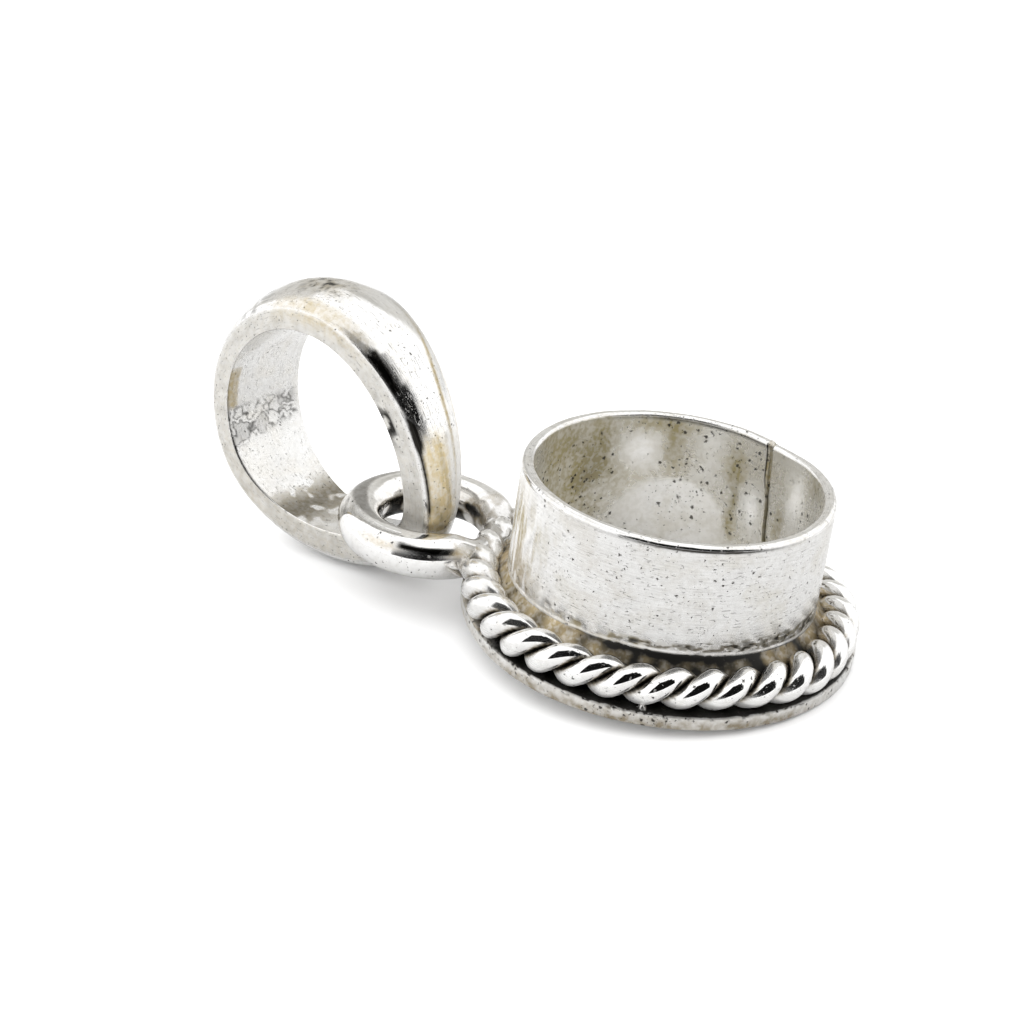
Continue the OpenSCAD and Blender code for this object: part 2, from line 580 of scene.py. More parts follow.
@dataclass(frozen=True)
class SilverFinish:
    """One finish of the silver, drawn from the coat attribute and the shared effects.

    Args:
        name: the material's name.
        bright: colour of the bare metal.
        dull: colour where the coat says that the metal is dull.
        tan: colour of the warm tarnish.
        deep: the colour that the tarnish drifts to.
        shine: roughness of the bare metal.
        haze: roughness of the dull metal.
        pit_share: share of cells that hold a pit.
        pit_scale: cells for each metre.
        pit_size: radius of the largest pit, as a share of a cell.
        pit_ink: how dark a pit is.
        cloud: strength of the cloudy tarnish away from the recesses.
        cloud_size: clouds for each metre.
        scratch: strength of the scratches.
        dash: strength of the short dark dashes.
        ripple: depth of the slow unevenness, in millimetres.
    """

    name: str
    bright: Colour = (0.93, 0.925, 0.915)
    dull: Colour = (0.80, 0.795, 0.78)
    tan: Colour = (0.47, 0.385, 0.25)
    deep: Colour = (0.41, 0.35, 0.25)
    shine: float = 0.10
    haze: float = 0.30
    pit_share: float = 1.1
    pit_scale: float = 3600.0
    pit_size: float = 0.22
    pit_ink: float = 0.9
    cloud: float = 0.25
    cloud_size: float = 700.0
    scratch: float = 0.3
    dash: float = 0.0
    ripple: float = 0.006

    def material(self, effects: SurfaceEffects) -> bpy.types.Material:
        """Builds the material.

        Args:
            effects: the shared shader groups.

        Returns:
            A material whose shader reads Object coordinates, the UV map and the coat.
        """
        made, tree = new_material(self.name)
        where = tree.add("ShaderNodeTexCoord").outputs
        coat = tree.add("ShaderNodeAttribute", None, attribute_name=COAT).outputs
        wear = self.wear(tree, effects, where, coat["Color"])
        height = self.height(tree, wear, tree.noise(where["Object"], 900.0, 2.0))
        bump = tree.add("ShaderNodeBump", {"Strength": 1.0, "Distance": MM, "Height": height})
        feeds = {
            "Base Color": self.colour(tree, wear),
            "Roughness": self.roughness(tree, wear),
            "Normal": bump.outputs[0],
            "Metallic": tree.math("SUBTRACT", 1.0, coat["Alpha"]),
        }
        shader = tree.add("ShaderNodeBsdfPrincipled", feeds)
        tree.add("ShaderNodeOutputMaterial", {"Surface": shader.outputs[0]})
        return made

    def wear(self, tree: Tree, effects: SurfaceEffects, where: object, coat: Socket) -> Wear:
        """Places the shared effects and works out the shares.

        Args:
            tree: the material's tree.
            effects: the shared shader groups.
            where: the texture coordinates' outputs.
            coat: colour of the coat attribute.

        Returns:
            The sockets that colour, roughness and height are mixed from.
        """
        place = where["Object"]
        dull, tan, black = list(tree.add("ShaderNodeSeparateColor", {0: coat}).outputs)[:3]
        clouds = {"Vector": place, "Size": self.cloud_size}
        stain = tree.add("ShaderNodeGroup", clouds, node_tree=effects.tarnish).outputs
        marks = tree.add("ShaderNodeGroup", {"UV": where["UV"]}, node_tree=effects.scratches).outputs
        mottle = stain["Mottle"]
        spread = tree.math("MULTIPLY_ADD", tree.step(mottle, 0.34, 0.66), 0.5, 0.55)
        filled = tree.math("MULTIPLY", tree.step(tan, 0.75, 1.0), 0.12)
        specks = tree.math("MULTIPLY", self.pitted(tree, effects, place, 2.1), 0.8)
        holes = tree.math("MAXIMUM", self.pitted(tree, effects, place, 1.0), specks)
        brushed = tree.math("MULTIPLY", tree.step(marks["Height"], 0.42, 0.62), 0.22 * self.scratch)
        return Wear(
            dull=dull,
            recess=tree.math("MULTIPLY_ADD", tan, spread, filled, clamp=True),
            soot_and_painted_shade=tree.math("MULTIPLY", black, tree.math("MULTIPLY_ADD", mottle, 0.5, 0.85), clamp=True),
            holes=tree.math("MAXIMUM", holes, tree.math("MULTIPLY", marks["Dashes"], self.dash)),
            cloud=stain["Cloud"],
            mottle=mottle,
            hue=stain["Hue"],
            lines=tree.math("MAXIMUM", brushed, tree.math("MULTIPLY", marks["Lines"], self.scratch)),
            relief=marks["Height"],
        )

    def pitted(self, tree: Tree, effects: SurfaceEffects, place: Socket, finer: float) -> Socket:
        """Adds the pits, so many times finer, and returns their mask.

        Args:
            tree: the material's tree.
            effects: the shared shader groups.
            place: the Object coordinates.
            finer: how many times finer than the finish's own pits.

        Returns:
            The pits' mask.
        """
        feeds = {
            "Vector": place,
            "Scale": self.pit_scale * finer,
            "Share": self.pit_share / finer**0.4,
            "Radius": self.pit_size,
        }
        return tree.add("ShaderNodeGroup", feeds, node_tree=effects.pits).outputs["Mask"]

    def colour(self, tree: Tree, wear: Wear) -> Socket:
        """Bare and dull metal, then tarnish, black dirt and painted shade, scratches and pits over it.

        Args:
            tree: the material's tree.
            wear: the sockets to mix from.

        Returns:
            The colour.
        """
        metal = tree.mix(wear.dull, (*self.bright, 1.0), (*self.dull, 1.0))
        uneven = tree.math("MULTIPLY", tree.step(wear.mottle, 0.35, 0.7), 0.15)
        metal = tree.mix(uneven, metal, (*MOTTLED, 1.0))
        warm = tree.mix(wear.hue, (*self.tan, 1.0), (*self.deep, 1.0))
        tarnished = tree.math("MAXIMUM", wear.recess, tree.math("MULTIPLY", wear.cloud, self.cloud))
        metal = tree.mix(tarnished, metal, warm)
        metal = tree.mix(wear.soot_and_painted_shade, metal, (*SOOT_AND_PAINTED_SHADE, 1.0))
        metal = tree.mix(wear.lines, metal, (*SCRATCHED, 1.0))
        return tree.mix(tree.math("MULTIPLY", wear.holes, self.pit_ink), metal, (*PITTED, 1.0))

    def roughness(self, tree: Tree, wear: Wear) -> Socket:
        """Rougher where the metal is dull, mottled, tarnished or pitted.

        Args:
            tree: the material's tree.
            wear: the sockets to mix from.

        Returns:
            The roughness.
        """
        dirt = tree.math("MAXIMUM", wear.recess, wear.soot_and_painted_shade)
        rough = tree.ramp(wear.dull, 0.0, 1.0, self.shine, self.haze)
        rough = tree.math("MULTIPLY_ADD", wear.mottle, 0.04, rough)
        rough = tree.math("MULTIPLY_ADD", dirt, 0.22, rough)
        return tree.math("MULTIPLY_ADD", wear.holes, 0.3, rough, clamp=True)

    def height(self, tree: Tree, wear: Wear, slow: Socket) -> Socket:
        """Relief in millimetres: slow unevenness, mottle and scratches, with sunken pits.

        Args:
            tree: the material's tree.
            wear: the sockets to mix from.
            slow: the slow unevenness.

        Returns:
            The height.
        """
        relief = tree.math("MULTIPLY", slow, self.ripple)
        relief = tree.math("MULTIPLY_ADD", wear.mottle, 0.0012, relief)
        relief = tree.math("MULTIPLY_ADD", wear.relief, 0.004 * self.scratch, relief)
        return tree.math("SUBTRACT", relief, tree.math("MULTIPLY", wear.holes, 0.012))


@dataclass(frozen=True)
class BasePlate:
    """The thin round back sheet, with a filed edge, a ledge under the rope painted black as shade and a drop
    of solder on it.

    Args:
        radius: radius of the sheet.
        thickness: its thickness.
        cup_r: radius of the cup, whose floor it is.
        edge_round: rounding of its upper edge.
        back_round: rounding of its lower edge, as a share of the upper one's.
        ledge_from: radius from which the top is cut finely.
        drop_at: heading of the solder drop.
        drop_reach: its distance from the axis.
        drop_r: its radius.
        drop_height: its height.
        segments: steps once round.
    """

    radius: float = 7.3
    thickness: float = 0.52
    cup_r: float = 5.1
    edge_round: float = 0.09
    back_round: float = 0.6
    ledge_from: float = 5.9
    drop_at: float = -77.8
    drop_reach: float = 7.02
    drop_r: float = 0.15
    drop_height: float = 0.17
    segments: int = 720

    def profile(self) -> list[Pair]:
        """Radius and height from the middle of the top, over the edge, to the middle of the back.

        Returns:
            The outline's points, in millimetres.
        """
        bend, back_bend = self.edge_round, self.edge_round * self.back_round
        top = [(r, self.thickness) for r in np.linspace(0.0, self.ledge_from, 14)]
        top += [(r, self.thickness) for r in np.linspace(self.ledge_from, self.radius - bend, 28)[1:]]
        upper = [self.turned(a, self.thickness - bend, bend) for a in np.linspace(90.0, 0.0, 6)[1:]]
        side = [(self.radius, z) for z in np.linspace(self.thickness - bend, back_bend, 6)[1:]]
        lower = [self.turned(a, back_bend, back_bend) for a in np.linspace(0.0, -90.0, 5)[1:]]
        back = [(r, 0.0) for r in np.linspace(self.radius - back_bend, 0.0, 16)[1:]]
        return top + upper + side + lower + back

    def turned(self, degrees: float, height: float, bend: float) -> Pair:
        """A point of an edge's rounding."""
        a = math.radians(degrees)
        return self.radius - bend + bend * math.cos(a), height + bend * math.sin(a)

    def build(self, lay: Lay) -> bpy.types.Object:
        """Makes the plate, a little uneven at its edge.

        Args:
            lay: how the setting leans.

        Returns:
            The linked object.
        """
        loop = np.array(self.profile())
        a, r = np.meshgrid(full_turn(self.segments), loop[:, 0], indexing="ij")
        z = np.broadcast_to(loop[:, 1], a.shape).copy()
        near_edge = smooth(self.radius - 0.5, self.radius, r)
        upper = near_edge * smooth(0.3, self.thickness, z)
        rim = polar(a, self.radius, z * 2.0)
        rough = grain(rim, 0.42, 3.0)
        chips = upper * smooth(0.25, 0.6, grain(rim, 0.19, 4.0))
        slow = waves(a, (0.012, 3.0, 0.6), (0.007, 7.0, 2.0)) - 0.10 * about(np.degrees(a), -146.0, 26.0)
        r = r + near_edge * (slow + 0.016 * rough - 0.012) - 0.035 * chips
        z = z + upper * (0.022 * rough - 0.01) - 0.03 * chips
        drop = self.drop(a, r) * (z > self.thickness * 0.8)
        z = z + self.drop_height * drop
        points = lay.place(polar(a, r, z))
        nicks = upper * smooth(0.25, 0.45, grain(rim, 0.16, 5.0))
        coat = self.coat(a, r, z, near_edge, rough, chips, nicks, drop)
        along, once = (a * self.radius, r + z), (TURN * self.radius, 0.0)
        return make_piece("base_plate", points, coat, along, once, closed=False)

    def drop(self, a: np.ndarray, r: np.ndarray) -> np.ndarray:
        """Height share of the round drop of solder.

        Args:
            a: angle round the axis.
            r: distance from the axis.

        Returns:
            1 at the drop's top, 0 outside it.
        """
        way = a - math.radians(self.drop_at)
        away = np.hypot(r * np.cos(way) - self.drop_reach, r * np.sin(way))
        return np.sqrt(np.clip(1.0 - (away / self.drop_r) ** 2, 0.0, 1.0))

    def coat(
        self,
        a: np.ndarray,
        r: np.ndarray,
        z: np.ndarray,
        near_edge: np.ndarray,
        rough: np.ndarray,
        chips: np.ndarray,
        nicks: np.ndarray,
        drop: np.ndarray,
    ) -> Coat:
        """Pale floor in the cup, a ledge under the rope painted black as shade, and a dirty, chipped filed
        edge with painted shade on its front, darkest low down.

        Args:
            a: angle round the axis.
            r: distance from the axis.
            z: height above the back.
            near_edge: how near the edge, as a share.
            rough: noise of the filed edge.
            chips: where its upper corner is chipped.
            nicks: where small dark nicks may be.
            drop: height share of the solder drop.

        Returns:
            The shares of each point.
        """
        heading = off_by(np.degrees(a), 0.0)
        on_top = z > self.thickness * 0.85
        inside = smooth(self.cup_r + 0.3, self.cup_r - 0.2, r) * on_top
        corner = smooth(self.cup_r - 0.9, self.cup_r, r) * inside
        ledge = smooth(self.ledge_from, 6.3, r) * smooth(self.radius + 0.01, self.radius - 0.11, r) * on_top
        shadow = band(heading, -138.0, -120.0, -12.0, 10.0)
        coat = Coat(a.shape)
        # Painted shade: the ledge under the rope is black, most of all on the front side.
        coat.cover(ledge * (drop < 0.05), black=0.25 + 0.75 * shadow)
        coat.cover(chips, black=0.6)
        coat.cover(nicks * smooth(0.36, 0.46, z), black=0.95)
        coat.add(1.0 - drop, dull=0.75 - 0.55 * inside)
        coat.add(inside, tan=0.03, white=0.9)
        coat.add(corner, tan=0.2)
        coat.add(chips, tan=0.3)
        coat.add(ledge * (1.0 - shadow), tan=0.6)
        # Painted shade on the front of the filed edge, darkest low down, laid on as tan and black.
        front = smooth(-8.0, -45.0, heading) * (1.0 - 0.6 * smooth(-105.0, -140.0, heading))
        front = front * near_edge * (z < self.thickness * 0.98)
        shaded = front * (0.4 + 0.6 * smooth(0.45, 0.1, z)) * (0.75 + 0.5 * rough)
        coat.add(shaded, tan=1.05, black=0.315)
        coat.add(near_edge * smooth(0.56, 0.50, z), white=0.35)
        return coat


@dataclass(frozen=True)
class BezelWall:
    """The strip that is bent into the cup, from one side of its seam round to the other.

    Args:
        cup_r: radius of the cup.
        thickness: thickness of the strip at its rim.
        flare: how much further out its foot stands.
        foot: height of its foot.
        rim: height of its rim.
        dome: height of the rim's rounding.
        tooled_rows: heights between which the outside is cut finely, for the tool marks.
        seam_at: heading of the seam.
        seam_reach: degrees beside the seam that are cut finely.
        degree: length of a degree round the cup.
        face_r: radius of the outside, half way up.
        clouded_at: heading of the most tarnished side of the cup.
        pool: heading, half width and height of the painted pool of light at the cup's back.
        stains: tan and dark stains in the cup, by heading and height.
        glows: painted highlights in the cup, by heading and height.
        specks: the largest pits in the cup.
    """

    cup_r: float = 5.1
    thickness: float = 0.45
    flare: float = 0.12
    foot: float = 0.42
    rim: float = 5.9
    dome: float = 0.16
    tooled_rows: Pair = (1.55, 2.6)
    seam_at: float = 60.4
    seam_reach: float = 2.4
    degree: float = 0.089
    face_r: float = 5.6
    clouded_at: float = 160.0
    pool: tuple[float, float, float] = (103.0, 26.0, 3.25)
    stains: tuple[Mark, ...] = (
        Mark(145.0, 3.4, 7.0, 0.6, 0.75),
        Mark(139.0, 4.3, 8.0, 1.2, 0.40),
        Mark(113.0, 5.5, 15.0, 0.32, 0.55),
        Mark(105.5, 4.7, 4.0, 1.0, 0.70),
        Mark(77.5, 4.3, 4.5, 0.9, 0.75),
        Mark(74.3, 3.1, 2.3, 0.8, 0.70),
        Mark(76.0, 1.9, 3.0, 0.7, 0.75),
        Mark(51.0, 2.8, 4.0, 0.9, 0.60),
        Mark(26.0, 5.5, 9.0, 0.5, 0.60),
    )
    glows: tuple[Mark, ...] = (
        Mark(120.0, 4.4, 9.0, 0.75, 1.0),
        Mark(90.0, 4.9, 6.0, 0.8, 0.35),
        Mark(66.0, 2.9, 3.8, 0.8, 0.9),
        Mark(43.0, 4.3, 6.0, 0.8, 0.7),
    )
    specks: tuple[Speck, ...] = (
        Speck(100.5, 2.56, 0.09),
        Speck(139.4, 5.15, 0.08),
        Speck(111.2, 3.2, 0.07),
        Speck(66.2, 3.2, 0.08),
        Speck(92.0, 3.9, 0.06),
        Speck(47.0, 4.9, 0.07),
    )

    def section(self) -> np.ndarray:
        """Offset from the cup's radius and height, up the inside, over the rim and down the outside.

        Returns:
            The outline's points, in millimetres.
        """
        shoulder, neck = self.rim - self.dome, self.rim - 0.34
        low, high = self.tooled_rows
        inner = [(0.0, z) for z in np.linspace(self.foot, shoulder, 44)]
        half = self.thickness / 2.0
        over = []
        for a in np.radians(np.linspace(180.0, 0.0, 17)[1:]):
            over.append((half + half * math.cos(a), shoulder + self.dome * math.sin(a)))
        stretches = ((shoulder, neck, 8), (neck, high, 20), (high, low, 42), (low, self.foot, 4))
        heights = np.concatenate([np.linspace(top, end, count)[1:] for top, end, count in stretches])
        spread = (self.rim - heights) / (self.rim - self.foot)
        outer = [(self.thickness + self.flare * s, z) for s, z in zip(spread, heights)]
        return np.array(inner + over + outer)

    def seam_line(self, z: np.ndarray) -> np.ndarray:
        """Heading of the seam at each height, in degrees: it leans and wavers a little."""
        return self.seam_at + 1.75 * (z - 4.0) + 0.3 * np.sin(3.1 * z + 0.4)

    @staticmethod
    def opened(z: np.ndarray) -> np.ndarray:
        """How far the seam has opened at each height: closed low down, open at the rim."""
        return smooth(3.7, 4.5, z)

    def gap(self, z: np.ndarray) -> np.ndarray:
        """Half the width of the filled seam in degrees: open at the rim, a hairline lower down."""
        return 0.12 + 0.95 * self.opened(z)

    @staticmethod
    def tooled(z: np.ndarray) -> np.ndarray:
        """How far the tool marks reach up from the foot, as a share."""
        return band(z, 1.8, 1.9, 2.1, 2.35)

    def build(self, lay: Lay) -> bpy.types.Object:
        """Makes the strip with its uneven rim, the step at the seam and the tool marks at its foot.

        Args:
            lay: how the setting leans.

        Returns:
            The linked object.
        """
        loop = self.section()
        beside_seam = np.linspace(-self.seam_reach, self.seam_reach, 56)
        rest = np.linspace(self.seam_reach, 360.0 - self.seam_reach, 404)[1:-1]
        turn = np.concatenate([beside_seam, rest])
        t, off = np.meshgrid(turn, loop[:, 0], indexing="ij")
        z = np.broadcast_to(loop[:, 1], t.shape).copy()
        side = off_by(t, 0.0)
        before, after = smooth(0.1, -0.1, side), smooth(-0.1, 0.1, side)
        heading = self.seam_at + t + (self.seam_line(z) - self.seam_at) * bell(side, 22.0)
        a = np.radians(heading)
        high = smooth(0.8, self.rim, z)
        outside = smooth(0.25, self.thickness, off)
        r = self.cup_r + off + high * waves(a, (0.018, 2.0, 0.7), (0.012, 3.0, 2.1))
        r = r + bell(side, 9.0) * (0.05 * before - 0.075 * after)
        r = r + 0.05 * smooth(0.25, 0.0, np.abs(side) - self.gap(z)) * (1.0 - 2.0 * outside)
        z = z + high * waves(a, (0.014, 3.0, 1.0), (0.009, 5.0, 0.4), (0.004, 19.0, 0.0))
        z = z - high * 0.12 * bell(side, 15.0) * before
        around = polar(a, r, z * 0.7)
        dents = grain(around, 0.30, 11.0) + 0.35 * grain(around, 0.15, 12.0)
        r = r - self.tooled(z) * outside * 0.03 * smooth(0.08, 0.32, dents)
        r = r + 0.025 * grain(polar(a, self.cup_r, z), 1.5, 13.0) * high * (1.0 - outside)
        coat = WallCoat(self, side, off, z, heading, dents)
        middle_r = self.cup_r + self.thickness
        along, once = (np.radians(t) * middle_r, z + off), (TURN * middle_r, 0.0)
        made = make_piece("bezel_wall", lay.place(polar(a, r, z)), coat, along, once)
        within = np.tile(loop[:, 0] < 0.001, len(turn))
        made.data.polygons.foreach_set("material_index", within.astype(np.int32))
        return made


class WallCoat(Coat):
    """The strip's coat: clouded inside, scuffed outside, stained at the foot, the rim and the seam, with
    painted light
    and shade: a pool of light and highlights in the cup, a brighter left outside, a dark reflection under the
    rim and a highlight on the lip.
    """

    def __init__(
        self,
        wall: BezelWall,
        side: np.ndarray,
        off: np.ndarray,
        z: np.ndarray,
        heading: np.ndarray,
        dents: np.ndarray,
    ) -> None:
        """Lays on every mark.

        Args:
            wall: the strip.
            side: degrees from the seam.
            off: distance outwards from the inner face.
            z: height above the plate's back.
            heading: direction from the cup's axis, in degrees, which runs on past 360 to the seam.
            dents: the tool marks' noise.
        """
        super().__init__(z.shape)
        self.wall, self.side, self.off, self.z = wall, side, off, z
        self.heading, self.way_round = heading, off_by(heading, 0.0)
        self.spots = polar(np.radians(heading), wall.cup_r, z)
        self.clouds = grain(self.spots, 1.1, 21.0)
        self.line = foot_line(heading)
        self.inside = smooth(0.05, 0.0, off)
        below_rim = smooth(wall.rim - 0.17, wall.rim - 0.24, z)
        self.outside = smooth(wall.thickness - 0.01, wall.thickness, off) * below_rim
        self.cup()
        self.left_face()
        self.foot(dents)
        self.seam()
        self.lip()

    def cup(self) -> None:
        """Tarnish thickest on the left, a painted pool of light at the back, painted highlights, stains, and
        the largest pits.
        """
        wall, inside, heading, z = self.wall, self.inside, self.heading, self.z
        left = about(heading, wall.clouded_at, 32.0)
        self.add(inside, dull=0.8, tan=0.24 + 0.58 * left + 0.26 * self.clouds, white=0.30)
        # Painted light: tarnish is wiped away and the metal made pale and less dull in the pool of light and
        # the highlights.
        at, half, height = wall.pool
        pool = off_by(heading, at) / half
        top = height - 1.1 * pool * pool + 0.25 * self.clouds
        glow = bell(pool, 1.0) * smooth(top + 0.15, top - 0.2, z)
        glow = glow + sum(mark.on(heading, z, 2.0 * self.clouds) for mark in wall.glows)
        glow = np.clip(glow, 0.0, 1.0) * inside
        self.wipe(glow, tan=0.95)
        self.add(glow, dull=-0.75, white=0.65 * inside)
        soiled = sum(mark.on(heading, z, 3.0 * self.clouds) for mark in wall.stains)
        self.add(inside * soiled, tan=1.0, black=0.16)
        under_edge = bell(z - (wall.rim - wall.dome - 0.02), 0.04) * bell(heading - 95.0, 42.0)
        self.add(inside * under_edge, black=0.95)
        for speck in wall.specks:
            away = np.hypot(off_by(heading, speck.at) * wall.degree, z - speck.height)
            self.add(inside * smooth(speck.radius, speck.radius * 0.5, away), black=1.0)

    def left_face(self) -> None:
        """Pale outside, less dull on its left side as painted light, with golden streaks down its left end.
        """
        face = self.outside * about(self.heading, -147.0, 17.0)
        around = polar(np.radians(self.heading), self.wall.face_r, self.z * 0.15)
        streaks = smooth(-0.3, 0.3, grain(around, 0.2, 22.0) + 0.25 * self.clouds)
        # Painted light: the outside is less dull, so brighter, on its left side.
        self.add(self.outside, dull=0.5 + 0.5 * smooth(-125.0, -85.0, self.way_round), white=0.24)
        self.add(face, white=0.75)
        self.add(face * streaks * smooth(5.8, 4.2, self.z), tan=1.4, black=0.15)

    def foot(self, dents: np.ndarray) -> None:
        """Tool marks, spilled solder and a tarnished hem above the solder line.

        Args:
            dents: the tool marks' noise.
        """
        line, z, clouds = self.line, self.z, self.clouds
        marks = self.wall.tooled(z) * self.outside * smooth(0.10, 0.22, dents)
        marks = marks * (1.0 - 0.8 * about(self.heading, -118.0, 26.0))
        self.add(marks, tan=0.6, black=0.40)
        patchy = smooth(-0.25, 0.25, grain(self.spots, 0.3, 23.0) + 0.4 * clouds)
        spill = self.outside * smooth(line + 0.55, line + 0.20, z) * patchy
        self.add(spill * about(self.heading, -100.0, 22.0), tan=1.1, black=0.2, white=0.6)
        top = line + 0.40 + 0.25 * smooth(-75.0, -50.0, self.way_round)
        hem = self.outside * smooth(top, top - 0.15, z) * smooth(line + 0.11, line + 0.15, z)
        gaps = grain(self.spots * np.array([1.0, 1.0, 1.6]), 0.24, 15.0)
        hem = hem * smooth(-0.04, 0.06, gaps - 0.02) * smooth(-98.0, -86.0, self.way_round)
        self.add(hem, tan=0.8, black=0.5)

    def seam(self) -> None:
        """Filled and brown where it is open, two hairlines lower down."""
        side, opened = self.side, self.wall.opened(self.z)
        edge = np.abs(side) - self.wall.gap(self.z)
        face = np.maximum(self.inside, self.outside)
        hairline = self.inside * (1.0 - opened)
        self.add(smooth(0.15, 0.0, edge) * opened, tan=0.6)
        self.add(hairline * bell(side, 0.7), tan=0.6)
        self.add(face * bell(edge, 0.22), black=0.75 * opened + 0.15)
        self.add(face * (1.0 - opened) * bell(side, 0.3), black=0.34)
        self.add(hairline * bell(side + 1.5 + 0.3 * np.sin(4.0 * self.z), 0.16), black=0.30)

    def lip(self) -> None:
        """Painted dark reflection under the rim at the front, a painted highlight on the lip over the solder
        and a dark line below it.
        """
        wall, z, line, heading = self.wall, self.z, self.line, self.heading
        # Painted dark reflection: a black line under the rim on the front side.
        painted_reflection_under_rim = bell(z - (wall.rim - 0.165), 0.045) * (self.off > wall.thickness * 0.6)
        self.add(painted_reflection_under_rim * about(heading, -65.0, 30.0), black=1.2)
        # Painted highlight: a pale, less dull band on the lip over the solder, tan on its left part.
        lip = self.outside * bell(z - line - 0.08, 0.055) * smooth(30.0, 5.0, self.way_round)
        self.wipe(lip, tan=1.0, black=1.0)
        self.add(lip, dull=-0.4, tan=0.45 * smooth(-70.0, -95.0, self.way_round), white=0.6)
        self.add(self.outside * bell(z - line, 0.022) * smooth(-118.0, -100.0, self.way_round), black=0.8)
        shoulder = bell(self.off - 0.37, 0.014) * (z > wall.rim - 0.2)
        self.add(shoulder * smooth(-75.0, -110.0, self.way_round), black=0.5)


@dataclass(frozen=True)
class RopeBorder:
    """Two wires twisted together and laid round the foot of the wall.

    Args:
        circle_r: radius of the rope's middle circle.
        rope_r: radius of the rope.
        height: height of its middle.
        strand_r: radius of one wire.
        strands: number of wires.
        twists: turns of each wire in once round.
        phase: turn at which the first wire starts, in radians.
        steps: steps once round.
        sides: sides of a wire.
    """

    circle_r: float = 6.55
    rope_r: float = 0.71
    height: float = 1.13
    strand_r: float = 0.38
    strands: int = 2
    twists: int = 17
    phase: float = 0.35
    steps: int = 960
    sides: int = 24

    def inputs(self) -> dict[str, float | int]:
        """The node tree's inputs by name.

        Returns:
            The value of each input.
        """
        return {
            "Circle radius": self.circle_r,
            "Strand radius": self.strand_r,
            "Winding radius": self.rope_r - self.strand_r,
            "Height": self.height,
            "Twists": self.twists,
            "Strands": self.strands,
            "Phase": self.phase,
            "Steps": self.steps,
            "Sides": self.sides,
        }

    def tree(self, material: bpy.types.Material) -> bpy.types.NodeTree:
        """Builds the node tree that winds the strands round a circle and gives them their thickness.

        Args:
            material: the finish that the wires get.

        Returns:
            The tree.
        """
        group = bpy.data.node_groups.new("twisted_wire", "GeometryNodeTree")
        group.interface.new_socket(name="Geometry", in_out="INPUT", socket_type="NodeSocketGeometry")
        for name, value in self.inputs().items():
            kind = "NodeSocketInt" if isinstance(value, int) else "NodeSocketFloat"
            group.interface.new_socket(name=name, in_out="INPUT", socket_type=kind)
        group.interface.new_socket(name="Geometry", in_out="OUTPUT", socket_type="NodeSocketGeometry")
        tree = Tree(group)
        given = tree.add("NodeGroupInput").outputs
        circle = tree.add("GeometryNodeCurvePrimitiveCircle", {0: given["Steps"], 4: given["Circle radius"]})
        strands = {0: circle.outputs[0], 2: given["Strands"]}
        copies = tree.add("GeometryNodeDuplicateElements", strands, domain="SPLINE")
        place = tree.add("GeometryNodeInputPosition").outputs[0]
        outward = tree.vector("NORMALIZE", place)
        parts = tree.add("ShaderNodeSeparateXYZ", {0: place}).outputs
        heading = tree.math("ARCTAN2", parts[1], parts[0])
        share = tree.math("DIVIDE", copies.outputs[1], given["Strands"])
        start = tree.math("MULTIPLY_ADD", share, TURN, given["Phase"])
        wind = tree.math("MULTIPLY_ADD", heading, given["Twists"], start)
        out = tree.math("MULTIPLY", tree.math("COSINE", wind), given["Winding radius"])
        rise = tree.math("MULTIPLY_ADD", tree.math("SINE", wind), given["Winding radius"], given["Height"])
        move = tree.vector("ADD", tree.scaled(outward, out), tree.joined(0.0, 0.0, rise))
        moved = tree.add("GeometryNodeSetPosition", {0: copies.outputs[0], 3: move})
        profile = tree.add("GeometryNodeCurvePrimitiveCircle", {0: given["Sides"], 4: given["Strand radius"]})
        tube = tree.add("GeometryNodeCurveToMesh", {0: moved.outputs[0], 1: profile.outputs[0]})
        real = tree.add("GeometryNodeRealizeInstances", {0: tube.outputs[0]})
        dressed = tree.add("GeometryNodeSetMaterial", {0: real.outputs[0], 2: material})
        tree.add("NodeGroupOutput", {0: dressed.outputs[0]})
        return group

    def wound(self, material: bpy.types.Material) -> bpy.types.Mesh:
        """Runs the tree on an empty object and makes the result a plain mesh.

        Args:
            material: the finish that the wires get.

        Returns:
            The mesh, in the setting's own frame and in millimetres.
        """
        holder = bpy.data.objects.new("rope_seed", bpy.data.meshes.new("rope_seed"))
        bpy.context.scene.collection.objects.link(holder)
        modifier = holder.modifiers.new("twist", "NODES")
        modifier.node_group = self.tree(material)
        values = self.inputs()
        for item in modifier.node_group.interface.items_tree:
            if item.in_out == "INPUT" and item.name in values:
                modifier[item.identifier] = values[item.name]
        holder.update_tag()
        graph = bpy.context.evaluated_depsgraph_get()
        mesh = bpy.data.meshes.new_from_object(holder.evaluated_get(graph))
        bpy.data.objects.remove(holder)
        mesh.name = "rope_border"
        return mesh

    def build(self, lay: Lay, material: bpy.types.Material) -> bpy.types.Object:
        """Winds the wires and works in their own unevenness.

        Args:
            lay: how the setting leans.
            material: the wires' finish.

        Returns:
            The linked object.
        """
        mesh = self.wound(material)
        points = np.zeros(len(mesh.vertices) * 3, np.float32)
        mesh.vertices.foreach_get("co", points)
        points = points.reshape(-1, 3).astype(float)
        places = lay.place(self.worked(points)) * MM
        mesh.vertices.foreach_set("co", places.astype(np.float32).ravel())
        self.coat(points).paint(mesh)
        return as_piece("rope_border", mesh)

    def measured(self, points: np.ndarray) -> tuple[np.ndarray, np.ndarray, np.ndarray]:
        """Angle round the axis, and distance outwards and upwards from the rope's middle circle."""
        out = np.hypot(points[:, 0], points[:, 1]) - self.circle_r
        return np.arctan2(points[:, 1], points[:, 0]), out, points[:, 2] - self.height

